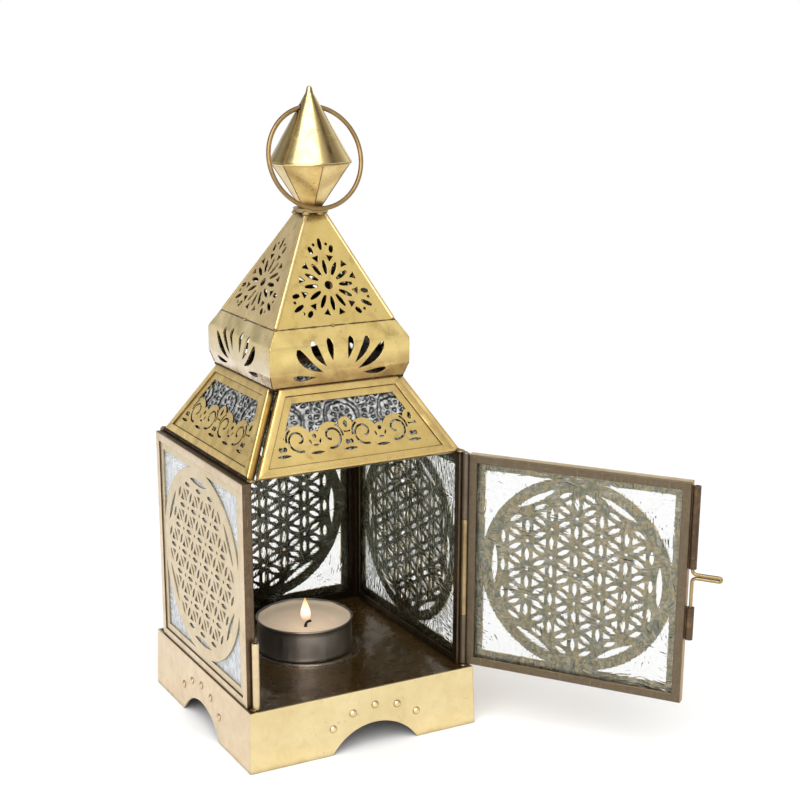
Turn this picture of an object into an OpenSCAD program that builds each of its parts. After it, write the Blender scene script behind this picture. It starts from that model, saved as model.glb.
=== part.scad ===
// Square brass candle lantern: a plinth, a glazed body with a hinged door, a
// sloping glazed shoulder, a bulged collar, a pyramid roof, a cone finial with
// a hanging ring, and a tealight on the floor.
// Millimetres, +Z up. The door is on the -Y side and the origin is the centre
// of the plinth's foot. The door stands open and the bolt is raised.

/* [Plinth] */
// Height of the plinth
base_h = 23.4; // [18:0.2:36]
// How far each side of the plinth leans out from its top edge to its foot
base_flare = 0.7; // [0:0.1:3]
// Ledge of the plinth that shows outside the body
base_ledge = 0.6; // [0.2:0.1:5]
// Thickness of the plinth's sheet
base_sheet = 0.8; // [0.5:0.1:1.5]
// Thickness of the floor plate
floor_t = 0.8; // [0.5:0.1:2]
// How far the floor lies below the plinth's top edge
floor_drop = 0.2; // [0:0.1:1]
// Span of the arch cut in each side
arch_w = 35.8; // [20:0.2:50]
// Height of the arch
arch_h = 9.7; // [5:0.1:13]
// How far the front arch is set toward the hinge
arch_set = 4; // [0:0.5:8]
// Diameter of a domed stud
stud_d = 2.8; // [1.6:0.1:4]
// Height of a domed stud
stud_rise = 0.9; // [0.4:0.1:1.2]
// Distance from the arch's edge to the studs
stud_gap = 6.9; // [4:0.1:8]
// Angle from one stud to the next, about the arch's centre
stud_step = 19.3; // [12:0.1:24]
// Inner diameter of the ring that holds the tealight on the floor
ring_seat_d = 40.8; // [40:0.2:50]
// Width of the seat ring
ring_seat_w = 1.4; // [0.6:0.1:4]
// Height of the seat ring
ring_seat_h = 0.7; // [0.3:0.1:2]
// How far the seat ring lies off the lantern's axis toward the latch
ring_seat_x = 0.7; // [0:0.1:0.9]

/* [Glazed panels] */
// Width of a body panel
panel_w = 84.4; // [76:0.2:110]
// Height of a body panel
panel_h = 84.8; // [70:0.2:120]
// Thickness of a body panel, across its folded channel
panel_t = 4; // [3.6:0.1:6]
// Thickness of the folded channel's sheet
frame_wall = 0.6; // [0.4:0.1:0.8]
// How far the channel laps over the pane
frame_lip = 3.2; // [2:0.1:5]
// Thickness of the panes
glass_t = 2; // [1.2:0.1:2.1]
// Thickness of the pierced sheets
grille_t = 0.6; // [0.4:0.1:0.7]

/* [Medallion] */
// Border of the pierced sheet that shows inside the frame
grille_border = 2.8; // [1.5:0.1:6]
// How far the medallion laps onto the border
disc_lap = 1; // [0.4:0.1:2]
// Width of the medallion's outer band
disc_band = 4.2; // [2:0.1:7]
// Solid left round each flower's centre, from one petal to the petal across
flower_d = 5.6; // [3.6:0.1:6.6]
// Width of a petal
petal_w = 1.75; // [1:0.05:2]
// Size of the openings between three petals, out to their corners
petal_gap_d = 3.9; // [2.4:0.1:4.2]
// Diameter of the small hole at each flower's centre
dot_d = 1.3; // [0.6:0.1:1.8]
// Length of the six slots along the outer band
slot_l = 16.5; // [8:0.5:22]
// Width of the six slots
slot_w = 2.3; // [1:0.1:2.5]

/* [Door] */
// How much lower the door is than a body panel, left free under it
door_rise = 1; // [0.4:0.1:4]
// How much narrower the door is than a body panel
door_less = 0.2; // [0:0.1:1]
// Gap between the closed door and the body
door_gap = 0.4; // [0.2:0.1:1.5]
// Angle at which the door stands open
door_open = 126; // [0:1:150]
// Diameter of the hinge's knuckles
knuckle_d = 2.6; // [2.2:0.1:4]
// Diameter of the hinge's pin
pin_d = 1.3; // [0.8:0.1:1.6]
// Running clearance round the pin and the bolt
run_clear = 0.06; // [0.02:0.01:0.1]
// How far the hinge's axis lies outside the door opening
hinge_set = 2.1; // [1.4:0.1:3]
// Height of the hinge's upper knuckle
knuckle_top_h = 25.6; // [10:0.2:30]
// Height of the hinge's lower knuckle
knuckle_low_h = 19.6; // [10:0.2:30]
// Gap between one knuckle and the next
knuckle_gap = 0.2; // [0.1:0.1:1]

/* [Latch] */
// Diameter of the bolt's guide tubes
tube_d = 2.8; // [2.4:0.1:4]
// Gap that the solder fills between a tube and what it is soldered to
tube_gap = 0.3; // [0.2:0.05:0.6]
// Width of the line of solder behind a tube
solder_w = 1.2; // [0.6:0.1:2]
// Diameter of the bolt's wire
bolt_d = 1.3; // [1:0.1:1.7]
// Radius of the wire's bends, at the middle of the wire
bolt_bend = 1.6; // [1.2:0.1:2.4]
// Height of the upper guide tube's lower end above the floor
tube_high_z = 52.8; // [46:0.2:60]
// Length of the upper guide tube
tube_high_l = 30.6; // [15:0.2:31]
// Length of the lower guide tube
tube_low_l = 12.2; // [6:0.2:14]
// Length of the catch tube on the body
catch_l = 25.8; // [14:0.2:26]
// Travel of the bolt
bolt_travel = 9; // [4:0.5:10]
// How far the bolt's handle stands out
handle_l = 11; // [6:0.5:20]
// Slit between the handle's two legs
handle_slit = 0.1; // [0.1:0.1:1.5]
// Length of the bolt in the upper guide tube when it is raised
bolt_up_l = 22; // [12:0.5:28]
// Clearance of the raised bolt from the catch tube and the upper guide tube
bolt_clear = 0.5; // [0.3:0.1:1.5]

/* [Shoulder] */
// How far the shoulder's lower edge stands outside the body's inner faces
shoulder_lap = 1; // [0.4:0.1:2]
// Height of the shoulder's lower edge above the body panels
shoulder_lift = 1.4; // [1:0.1:1.6]
// Outer width of the shoulder at its top edge
shoulder_top_w = 54.2; // [46:0.2:66]
// Height of the shoulder
shoulder_h = 27.2; // [20:0.2:40]
// Thickness of a shoulder panel
shoulder_t = 3.4; // [3.3:0.1:5]
// How far the shoulder's channel laps over its pane
shoulder_lip = 3; // [2:0.1:4]
// Thickness of the shoulder's figured panes
shoulder_glass_t = 1.5; // [1:0.1:1.6]

/* [Scroll] */
// Distance from one scroll of the shoulder to the next
scroll_step = 13.2; // [10:0.1:13.4]
// How far the row of scrolls is set to one side
scroll_set = -1.6; // [-2:0.1:2]
// Height of the scrolls' centres up the panel
scroll_y = 12.2; // [11:0.1:13]
// Radius at which a scroll's slot starts
scroll_r1 = 1; // [0.6:0.1:1.6]
// Radius at which a scroll's slot ends
scroll_r2 = 4.6; // [3.8:0.1:4.8]
// Width of the scroll's slots
scroll_slot = 0.8; // [0.4:0.05:0.9]
// Radius of the lobe of sheet round a scroll
lobe_r = 5.4; // [5:0.1:6]

/* [Collar] */
// Height of the collar
collar_h = 20.4; // [14:0.2:30]
// How far the collar bulges out past a straight side
collar_bulge = 2.7; // [1.5:0.1:6]
// Radius of the collar's two folds
collar_fold_r = 4; // [1:0.1:6]
// Thickness of the collar's sheet
collar_sheet = 0.8; // [0.5:0.1:1.2]
// How far the collar's foot lies inside the shoulder's top edge
collar_inset = 0.4; // [0:0.1:1]
// Radius at which the fan's rays start
fan_r = 7.8; // [5:0.1:9]
// Length of the fan's longest ray
ray_l = 13.8; // [8:0.1:14]
// Width of the fan's widest ray
ray_w = 3.4; // [1:0.1:3.6]

/* [Roof] */
// Outer width of the roof at its foot
roof_w = 48.8; // [42:0.2:50]
// Outer width of the roof at its top
roof_top_w = 8.4; // [7:0.2:12]
// Height of the roof
roof_h = 38.3; // [28:0.2:50]
// Thickness of the roof's sheet
roof_sheet = 0.8; // [0.5:0.1:1.2]
// How far the roof's top leans toward the hinge side
roof_lean = 2.1; // [0:0.1:3]
// Height of the rosette's centre up the roof
rosette_y = 15.3; // [14:0.1:16]
// Radius of the rosette, out to the tips of its corner sprays
rosette_r = 18; // [14:0.1:18.4]
// How far the fan and the rosette of the left side are set back
left_set = 2; // [0:0.5:2]

/* [Finial] */
// Diameter of the neck plate on the roof's top
neck_d = 13; // [10:0.2:13.4]
// Thickness of the neck plate
neck_t = 1.4; // [0.8:0.1:3]
// Width of the six-sided cup across its lower corners
cup_foot_w = 7.8; // [6:0.2:10]
// Width of the six-sided cup across its upper corners
cup_w = 29.2; // [22:0.2:30]
// Height of the cup
cup_h = 15.8; // [12:0.2:17]
// Turn of the cup about the upright axis
cup_turn = 23; // [0:1:60]
// Thickness of the cup's and the cone's sheet
finial_sheet = 0.8; // [0.5:0.1:1.2]
// Diameter of the cone at its foot
cone_d = 30.8; // [30.4:0.2:32]
// Height of the cone
cone_h = 27; // [22:0.2:36]
// Diameter of the rolled bead round the cone's foot
bead_d = 1.2; // [1:0.1:1.4]

/* [Hanging ring] */
// Diameter of the ring, from one side of its wire to the other
hoop_d = 38.7; // [38:0.1:40]
// Diameter of the ring's wire
hoop_wire = 1.7; // [1.2:0.1:1.8]
// Height of the ring's holes above the cone's foot
hoop_z = 19.2; // [18.8:0.1:19.6]
// Diameter of the holes in the cone
hoop_hole_d = 2.9; // [2.7:0.1:3.4]
// Angle at which the ring hangs forward from upright
hoop_lean = 14.5; // [12:0.5:30]

/* [Tealight] */
// Diameter of the tealight's cup
tealight_d = 38.4; // [36:0.2:39]
// Height of the tealight's cup
tealight_h = 13.4; // [10:0.2:18]
// Thickness of the cup's wall
tealight_wall = 0.4; // [0.3:0.1:0.8]
// Depth of the wax below the rim
wax_drop = 1.4; // [0.5:0.1:4]
// Diameter of the wick
wick_d = 1.6; // [0.8:0.1:2]
// Length of the wick above the wax
wick_l = 2.2; // [1:0.2:8]
// How far the wick stands off the cup's centre toward the latch
wick_x = 2.8; // [0:0.1:5]
// How far the wick stands off the cup's centre toward the door
wick_y = 6.4; // [0:0.1:8]
// How far the tealight lies off the lantern's axis toward the latch
tealight_x = 1.6; // [1:0.1:1.8]
// How far the tealight lies behind the lantern's axis
tealight_y = 2.2; // [0:0.2:10]

/* [Hidden] */
$fn = 64;
// Overrun of a cut past the face that it opens
cut = 1;
// Points along each fold of the collar
fold_steps = 6;
// Play at a soldered seam
seam = 0.05;
// Play round a pane in its channel
pane_play = 0.1;

// Colours as the lantern shows them
brass = "#c9a75c";
pale_brass = "#d8c39a";
brown_brass = "#6e6152";
floor_brown = "#3d3021";
glass_tint = "#c7d4d6";

// Quarter turns from the front side to each side
FRONT = 0;
RIGHT = 1;
BACK = 2;
LEFT = 3;

// Body and plinth
body_in = panel_w / 2;
body_out = body_in + panel_t;
base_top = body_out + base_ledge;
base_foot = base_top + base_flare;
floor_z = base_h - floor_drop;
body_top = base_h + panel_h;

// Plinth's arch
arch_r = (arch_w * arch_w / 4 + arch_h * arch_h) / (2 * arch_h);
stud_r = (stud_d * stud_d / 4 + stud_rise * stud_rise) / (2 * stud_rise);
studs = 5;

// Door and hinge
door_w = panel_w - door_less;
door_h = panel_h - door_rise;
door_z = base_h + door_rise;
hinge_x = body_in + hinge_set;
hinge_y = -body_in - knuckle_d / 2 - seam;
door_edge = hinge_x - knuckle_d / 2 - seam;
door_free = door_edge - door_w;
door_face = body_in + door_gap + panel_t;
knuckle_mid_l = door_h - knuckle_top_h - knuckle_low_h - 2 * knuckle_gap;

// Latch
latch_x = door_free - tube_gap - tube_d / 2;
latch_y = -body_in - tube_gap - tube_d / 2;
tube_high = base_h + tube_high_z;
handle_gap = bolt_d + handle_slit;
handle_high = tube_high - bolt_clear - bolt_bend;
handle_low = handle_high - handle_gap;
tube_low_top = handle_low - bolt_bend - bolt_travel - bolt_clear;
tube_low = tube_low_top - tube_low_l;
bolt_foot = base_h + catch_l + bolt_clear;

// Shoulder
shoulder_z = body_top + shoulder_lift;
shoulder_foot = body_in + shoulder_lap;
shoulder_top = shoulder_top_w / 2;
shoulder_run = shoulder_foot - shoulder_top;
shoulder_tilt = atan2(shoulder_h, shoulder_run);
shoulder_l = sqrt(shoulder_h * shoulder_h + shoulder_run * shoulder_run);
shoulder_set = shoulder_t * sin(shoulder_tilt) + seam;
shoulder_foot_w = shoulder_foot - shoulder_set;
shoulder_taper = shoulder_run / shoulder_l;
scroll_slope = sqrt(1 + shoulder_taper * shoulder_taper);

// Collar, an arc from the shoulder to the roof
collar_z = shoulder_z + shoulder_h + seam;
collar_foot = shoulder_top - collar_inset;
roof_z = collar_z + collar_h + seam;
roof_foot = roof_w / 2;
collar_top = roof_foot + seam;
collar_out = (collar_foot + collar_top) / 2 + collar_bulge;

// Roof and finial
roof_top = roof_top_w / 2;
roof_l = sqrt(roof_h * roof_h + (roof_foot - roof_top) * (roof_foot - roof_top));
neck_z = roof_z + roof_h + seam;
cup_z = neck_z + neck_t + seam;
cone_z = cup_z + cup_h + bead_d / 2 + seam;
cone_r = cone_d / 2;
hoop_r = (hoop_d - hoop_wire) / 2;
hoop_axis_z = cone_z + hoop_z;
hoop_hole_x = cone_r * (1 - hoop_z / cone_h);
hoop_drop = sqrt(hoop_r * hoop_r - hoop_hole_x * hoop_hole_x);

// Medallion
window_w = panel_w - 2 * (frame_lip + grille_border);
door_window_w = door_w - 2 * (frame_lip + grille_border);
rings = 3;
root3 = sqrt(3);

// Shares of the collar's height at its lower and upper fold
collar_fold_shares = [0.24, 0.7];

// Shares of the longest ray, of the widest ray and of a right angle that set
// out the fan's four rays on each side, from the upright one to the level one
ray_length_shares = [0.6, 0.8, 1, 0.67];
ray_width_shares = [0.7, 0.85, 1, 0.58];
ray_root_shares = [0.26, 0.52, 0.72, 0.9];
ray_start_shares = [1, 1, 1, 1.24];
ray_lean_shares = [0.11, 0.34, 0.55, 0.96];
ray_bend_shares = [0.02, 0.07, 0.1, 0.04];

// Shares of a lobe's radius: the crest between two units, the trefoil, its
// stem and leaflets, and the bean over a dash
crest_share = 0.72;
trefoil_share = 0.4;
stem_share = 0.62;
leaflet_share = 0.36;
bean_share = 0.52;

// Openings counted in slot widths: the trefoil's eye, stem and leaflets, the
// bean's two lobes, and the length and width of the crest's and the dash's
trefoil_slots = [2, 2.8, 2.5];
bean_slots = 2.2;
crest_slots = [3.5, 2.1];
dash_slots = [7, 1.4];

// Swell of a ray's outline, which makes its widest place its full width
ray_swell = 1.5 * root3;

// Full length of a blunt petal's arcs, as a share of the petal's length
blunt_share = 1.3;

// Shares of the rosette's radius
hole_share = 0.09;
petal_share = 0.385;
petal_length_share = 0.3;
petal_width_share = 0.092;
leaf_share = 0.595;
leaf_size_share = 0.092;
spray_share = 0.875;
spray_length_share = 0.25;
bud_share = 0.79;
bud_length_share = 0.165;
bud_width_share = 0.1;
seed_share = 0.88;
seed_size_share = 0.032;

// Frame of a side: x runs along it, y up it from its foot, z out of its face
module side_frame(turns, foot, top, z, height) {
    rotate([0, 0, 90 * turns])
        translate([0, -foot, z])
            rotate([atan2(height, foot - top), 0, 0])
                children();
}

// Pointed oval with its tips on the x axis
module lens(length, width) {
    r = (length * length + width * width) / (4 * width);
    intersection() {
        translate([0, width / 2 - r])
            circle(r);
        translate([0, r - width / 2])
            circle(r);
    }
}

// Plan of the quarter of the lantern on one side, out to a reach
module quarter(turns, reach) {
    rotate([0, 0, 90 * turns])
        polygon([[0, 0], [-reach, -reach], [reach, -reach]]);
}

// One leaning side of the plinth with its arch and studs
module base_side(turns, shift) {
    reach = base_foot + cut;
    color(turns == LEFT ? pale_brass : brass) {
        intersection() {
            linear_extrude(base_h)
                quarter(turns, reach);
            side_frame(turns, base_foot, base_top, 0, base_h)
                translate([0, 0, -base_sheet])
                    linear_extrude(base_sheet)
                        difference() {
                            translate([-reach, -cut])
                                square([2 * reach, base_h + 2 * cut]);
                            translate([shift, arch_h - arch_r])
                                circle(arch_r);
                        }
        }
        side_frame(turns, base_foot, base_top, 0, base_h)
            translate([shift, arch_h - arch_r])
                for (i = [0 : studs - 1])
                    rotate([0, 0, (i - (studs - 1) / 2) * stud_step])
                        translate([0, arch_r + stud_gap])
                            stud();
    }
}

// Domed stud whose foot is sunk in the sheet
module stud() {
    intersection() {
        translate([0, 0, stud_rise - stud_r])
            sphere(stud_r);
        translate([-stud_d, -stud_d, -base_sheet / 2])
            cube([2 * stud_d, 2 * stud_d, base_sheet + stud_rise]);
    }
}

module floor_plate() {
    half = base_top - base_sheet - seam;
    color(floor_brown)
        translate([-half, -half, floor_z - floor_t])
            cube([2 * half, 2 * half, floor_t]);
}

module seat_ring() {
    color(brown_brass)
        translate([-ring_seat_x, tealight_y, floor_z])
            linear_extrude(ring_seat_h)
                difference() {
                    circle(ring_seat_d / 2 + ring_seat_w);
                    circle(ring_seat_d / 2);
                }
}

// Folded channel round a pane, with its outer face on z = 0
module channel_frame(w, h) {
    difference() {
        translate([-w / 2, 0, -panel_t])
            cube([w, h, panel_t]);
        translate([frame_lip - w / 2, frame_lip, -panel_t - cut])
            cube([w - 2 * frame_lip, h - 2 * frame_lip, panel_t + 2 * cut]);
        translate([frame_wall - w / 2, frame_wall, frame_wall - panel_t])
            cube([w - 2 * frame_wall, h - 2 * frame_wall, panel_t - 2 * frame_wall]);
    }
}

// Pane of glass behind the pierced sheet
module pane(w, h) {
    inset = frame_wall + pane_play;
    color(glass_tint, 0.5)
        translate([inset - w / 2, inset, -frame_wall - grille_t - glass_t])
            cube([w - 2 * inset, h - 2 * inset, glass_t]);
}

// Lattice of flowers: points i, j lie within some rings of the centre
function in_rings(i, j, n) = max(abs(i), abs(j), abs(i + j)) <= n;
function lattice(i, j, step) = [(i + j / 2) * step, j * step * root3 / 2];

// Triangle between three petals
module petal_gap(turn) {
    rotate(90 + turn)
        circle(d = petal_gap_d, $fn = 3);
}

// Openings of the medallion, about its centre
module medallion_holes(radius) {
    step = (radius - disc_band) / rings;
    for (turn = [0, 60, 120], j = [-rings : rings], m = [0 : 2 * rings - 1 - abs(j)])
        rotate(turn)
            translate([(m + (abs(j) + 1) / 2 - rings) * step, j * step * root3 / 2])
                lens(step - flower_d, petal_w);
    for (i = [-rings : rings], j = [-rings : rings]) {
        if (in_rings(i, j, rings - 1))
            translate(lattice(i, j, step))
                circle(d = dot_d);
        if (in_rings(i, j, rings) && in_rings(i + 1, j, rings) && in_rings(i, j + 1, rings))
            translate(lattice(i + 1 / 3, j + 1 / 3, step))
                petal_gap(0);
        if (in_rings(i + 1, j, rings) && in_rings(i, j + 1, rings) && in_rings(i + 1, j + 1, rings))
            translate(lattice(i + 2 / 3, j + 2 / 3, step))
                petal_gap(180);
    }
    for (a = [30 : 60 : 330])
        rotate(a)
            translate([rings * step - slot_w / 2, 0])
                rotate(90)
                    lens(slot_l, slot_w);
}

// Pierced sheet: a square border with the medallion across its opening
module grille(w, h, window, turn) {
    inset = frame_wall + pane_play;
    radius = window / 2 + disc_lap;
    side = frame_lip + grille_border;
    translate([0, h / 2, -frame_wall - grille_t])
        linear_extrude(grille_t)
            difference() {
                translate([inset - w / 2, inset - h / 2])
                    square([w - 2 * inset, h - 2 * inset]);
                difference() {
                    translate([side - w / 2, side - h / 2])
                        square([w - 2 * side, h - 2 * side]);
                    circle(radius);
                }
                rotate(turn)
                    medallion_holes(radius);
            }
}

module at_panel(turns) {
    rotate([0, 0, 90 * turns])
        translate([0, -body_out, base_h])
            rotate([90, 0, 0])
                children();
}

module body_frame(turns) {
    color(turns == LEFT ? pale_brass : brown_brass)
        at_panel(turns)
            channel_frame(panel_w, panel_h);
}

module body_glass(turns) {
    at_panel(turns)
        pane(panel_w, panel_h);
}

module body_grille(turns, lattice_turn) {
    color(turns == LEFT ? pale_brass : brass)
        at_panel(turns)
            grille(panel_w, panel_h, window_w, lattice_turn);
}

// Turns the closed door's pieces about the hinge to where the door stands
module at_hinge() {
    translate([hinge_x, hinge_y, 0])
        rotate([0, 0, door_open])
            translate([-hinge_x, -hinge_y, 0])
                children();
}

module at_door() {
    at_hinge()
        translate([door_edge - door_w / 2, -door_face, door_z])
            rotate([90, 0, 0])
                children();
}

module door_frame() {
    color(brown_brass)
        at_door()
            channel_frame(door_w, door_h);
}

module door_glass() {
    at_door()
        pane(door_w, door_h);
}

module door_grille() {
    color(brown_brass)
        at_door()
            grille(door_w, door_h, door_window_w, 90);
}

// Tube that stands on z = 0
module tube(outer, bore, length) {
    difference() {
        cylinder(d = outer, h = length);
        translate([0, 0, -cut])
            cylinder(d = bore, h = length + 2 * cut);
    }
}

// Tube of the latch with a line of solder behind it, toward a turn
module soldered_tube(bore, length, turn) {
    difference() {
        union() {
            cylinder(d = tube_d, h = length);
            rotate([0, 0, turn])
                translate([0, -solder_w / 2, 0])
                    cube([tube_d / 2 + tube_gap - seam, solder_w, length]);
        }
        translate([0, 0, -cut])
            cylinder(d = bore, h = length + 2 * cut);
    }
}

module hinge_knuckle_upper() {
    color(brown_brass)
        at_hinge()
            translate([hinge_x, hinge_y, door_z + door_h - knuckle_top_h])
                tube(knuckle_d, pin_d + 2 * run_clear, knuckle_top_h);
}

module hinge_knuckle_middle() {
    color(brass)
        translate([hinge_x, hinge_y, door_z + knuckle_low_h + knuckle_gap])
            tube(knuckle_d, pin_d + 2 * run_clear, knuckle_mid_l);
}

module hinge_knuckle_lower() {
    color(brown_brass)
        at_hinge()
            translate([hinge_x, hinge_y, door_z])
                tube(knuckle_d, pin_d + 2 * run_clear, knuckle_low_h);
}

module hinge_pin() {
    color(brass)
        translate([hinge_x, hinge_y, door_z])
            cylinder(d = pin_d, h = door_h);
}

module latch_tube_upper() {
    color(brown_brass)
        at_hinge()
            translate([latch_x, latch_y, tube_high])
                soldered_tube(bolt_d + 2 * run_clear, tube_high_l, 0);
}

module latch_tube_lower() {
    color(brown_brass)
        at_hinge()
            translate([latch_x, latch_y, tube_low])
                soldered_tube(bolt_d + 2 * run_clear, tube_low_l, 0);
}

// Catch tube on the body, with a wider bore than the guide tubes
module catch_tube() {
    color(brass)
        translate([latch_x, latch_y, base_h])
            soldered_tube(bolt_d + 4 * run_clear, catch_l, 90);
}

// Quarter bend of the bolt's wire, from a start angle, about its own centre
module bolt_corner(start) {
    rotate([90, 0, 0])
        rotate_extrude(angle = 90, start = start)
            translate([bolt_bend, 0])
                circle(d = bolt_d);
}

// Bolt of bent wire: an upper stem, a hairpin handle and a lower stem
module latch_bolt() {
    reach = handle_l - handle_gap / 2 - bolt_d / 2;
    color(brown_brass)
        at_hinge()
            translate([latch_x, latch_y, 0]) {
                translate([0, 0, handle_high + bolt_bend])
                    cylinder(d = bolt_d, h = bolt_up_l);
                translate([-bolt_bend, 0, handle_high + bolt_bend])
                    bolt_corner(270);
                for (z = [handle_low, handle_high])
                    translate([-bolt_bend, 0, z])
                        rotate([0, -90, 0])
                            cylinder(d = bolt_d, h = reach - bolt_bend);
                translate([-reach, 0, (handle_low + handle_high) / 2])
                    rotate([90, 90, 0])
                        rotate_extrude(angle = 180, start = 180)
                            translate([handle_gap / 2, 0])
                                circle(d = bolt_d);
                translate([-bolt_bend, 0, handle_low - bolt_bend])
                    bolt_corner(0);
                translate([0, 0, bolt_foot])
                    cylinder(d = bolt_d, h = handle_low - bolt_bend - bolt_foot);
            }
}

// Half width of a shoulder panel at a height up it, inside an inset
function shoulder_half(y, inset) = shoulder_foot_w - shoulder_taper * y - scroll_slope * inset;

// Shoulder panel's outline, drawn in by an inset all round
module shoulder_outline(inset) {
    low = shoulder_half(inset, inset);
    high = shoulder_half(shoulder_l - inset, inset);
    polygon([[-low, inset], [low, inset], [high, shoulder_l - inset], [-high, shoulder_l - inset]]);
}

module at_shoulder(turns) {
    side_frame(turns, shoulder_foot, shoulder_top, shoulder_z, shoulder_h)
        children();
}

module shoulder_frame(turns) {
    color(brass)
        at_shoulder(turns)
            difference() {
                translate([0, 0, -shoulder_t])
                    linear_extrude(shoulder_t)
                        shoulder_outline(0);
                translate([0, 0, -shoulder_t - cut])
                    linear_extrude(shoulder_t + 2 * cut)
                        shoulder_outline(shoulder_lip);
                translate([0, 0, frame_wall - shoulder_t])
                    linear_extrude(shoulder_t - 2 * frame_wall)
                        shoulder_outline(frame_wall);
            }
}

module shoulder_glass(turns) {
    color(glass_tint, 0.5)
        at_shoulder(turns)
            translate([0, 0, -frame_wall - grille_t - shoulder_glass_t])
                linear_extrude(shoulder_glass_t)
                    shoulder_outline(frame_wall + pane_play);
}

// Point on a scroll's slot, at a share t of its run and a set from its middle
function scroll_point(t, set) =
    let (a = 380 * t - 90, r = scroll_r1 + (scroll_r2 - scroll_r1) * t + set)
    [r * cos(a), r * sin(a)];

// Slot of one scroll, which opens clockwise or, mirrored, the other way
module scroll_slot() {
    steps = 28;
    polygon(concat(
        [for (i = [0 : steps]) scroll_point(i / steps, scroll_slot / 2)],
        [for (i = [steps : -1 : 0]) scroll_point(i / steps, -scroll_slot / 2)]
    ));
}

// Thin slot that follows the outside of a scroll's lobe
module lobe_slot() {
    outer = lobe_r - scroll_slot / 2;
    reach = 2 * lobe_r;
    intersection() {
        difference() {
            circle(outer);
            circle(outer - scroll_slot);
        }
        polygon(concat([[0, 0]], [for (a = [120, 150, 185]) reach * [cos(a), sin(a)]]));
    }
}

// Small openings under and between the scrolls of one unit, about a trefoil
module trefoil_holes() {
    circle(d = trefoil_slots[0] * scroll_slot);
    translate([0, -lobe_r * stem_share])
        lens(trefoil_slots[1] * scroll_slot, scroll_slot);
    for (side = [-1, 1])
        translate([side * lobe_r * leaflet_share, -lobe_r * leaflet_share])
            rotate(90 - side * 20)
                lens(trefoil_slots[2] * scroll_slot, scroll_slot);
}

// Opening over a dash, of two small lobes
module bean() {
    for (side = [-1, 1])
        translate([side * scroll_slot, 0])
            circle(d = bean_slots * scroll_slot);
}

// Openings of the shoulder's pierced sheet below its window
module scroll_holes() {
    unit = 2 * scroll_step;
    dash_y = scroll_y - lobe_r;
    translate([scroll_set, scroll_y]) {
        for (x = [-unit / 2, unit / 2], side = [-1, 1])
            translate([x + side * scroll_step / 2, 0])
                mirror([side < 0 ? 0 : 1, 0]) {
                    scroll_slot();
                    lobe_slot();
                }
        for (x = [-unit / 2, unit / 2])
            translate([x, scroll_slot])
                trefoil_holes();
        for (x = [-unit, 0, unit])
            translate([x, -lobe_r * bean_share])
                bean();
        for (x = [0, unit])
            translate([x, lobe_r * crest_share])
                rotate(90)
                    lens(crest_slots[0] * scroll_slot, crest_slots[1] * scroll_slot);
    }
    for (i = [-2 : 2])
        translate([scroll_set + i * scroll_step, dash_y])
            lens(dash_slots[0] * scroll_slot, dash_slots[1] * scroll_slot);
}

// Window over the scrolls, with a scalloped lower edge
module scroll_window() {
    border = shoulder_lip + grille_border;
    unit = 2 * scroll_step;
    difference() {
        shoulder_outline(border);
        translate([-shoulder_foot, 0])
            square([2 * shoulder_foot, scroll_y + scroll_slot]);
        translate([scroll_set, scroll_y]) {
            for (i = [-3 : 2 : 3])
                translate([i * scroll_step / 2, 0])
                    circle(lobe_r);
            for (x = [-unit, 0, unit])
                translate([x, lobe_r * crest_share])
                    circle(lobe_r / 2);
            for (x = [-unit / 2, unit / 2])
                translate([x, scroll_slot])
                    circle(lobe_r * trefoil_share);
        }
    }
}

module shoulder_grille(turns) {
    color(brass)
        at_shoulder(turns)
            translate([0, 0, -frame_wall - grille_t])
                linear_extrude(grille_t)
                    difference() {
                        shoulder_outline(frame_wall + pane_play);
                        scroll_window();
                        scroll_holes();
                    }
}

// Outline of one ray, from its pointed root up to its round end
function ray_point(t, i, edge) =
    let (
        length = ray_l * ray_length_shares[i],
        half = ray_w * ray_width_shares[i] / 2,
        bend = -4 * length * ray_bend_shares[i] * t * (1 - t)
    )
    [bend + edge * half * ray_swell * t * sqrt(1 - t), length * t];

module ray(i) {
    steps = 14;
    polygon(concat(
        [for (s = [0 : steps]) ray_point(s / steps, i, -1)],
        [for (s = [steps - 1 : -1 : 1]) ray_point(s / steps, i, 1)]
    ));
}

// Eight rays of the fan, four on each side of the middle
module fan_holes() {
    for (side = [0, 1], i = [0 : 3])
        mirror([side, 0]) {
            root = 90 * ray_root_shares[i];
            start = fan_r * ray_start_shares[i];
            translate([start * sin(root), start * cos(root)])
                rotate(-90 * ray_lean_shares[i])
                    mirror([1, 0])
                        ray(i);
        }
}

// Points of an arc that rounds the corner at b on the way from a to c
function rounded(a, b, c, radius) =
    let (
        back = (a - b) / norm(a - b),
        on = (c - b) / norm(c - b),
        half = acos(back * on) / 2,
        centre = b + (back + on) / norm(back + on) * radius / sin(half),
        first = b + back * radius / tan(half) - centre,
        last = b + on * radius / tan(half) - centre,
        start = atan2(first[1], first[0]),
        sweep = atan2(last[1], last[0]) - start
    )
    [for (i = [0 : fold_steps]) let (t = start + sweep * i / fold_steps) centre + radius * [cos(t), sin(t)]];

// Section of the collar's sheet: distance out and height above its foot
module collar_section() {
    foot = [collar_foot, 0];
    low = [collar_out, collar_h * collar_fold_shares[0]];
    high = [collar_out, collar_h * collar_fold_shares[1]];
    top = [collar_top, collar_h];
    outer = concat(
        [foot], rounded(foot, low, high, collar_fold_r), rounded(low, high, top, collar_fold_r), [top]
    );
    last = len(outer) - 1;
    polygon(concat(outer, [for (i = [last : -1 : 0]) outer[i] - [collar_sheet, 0]]));
}

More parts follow.
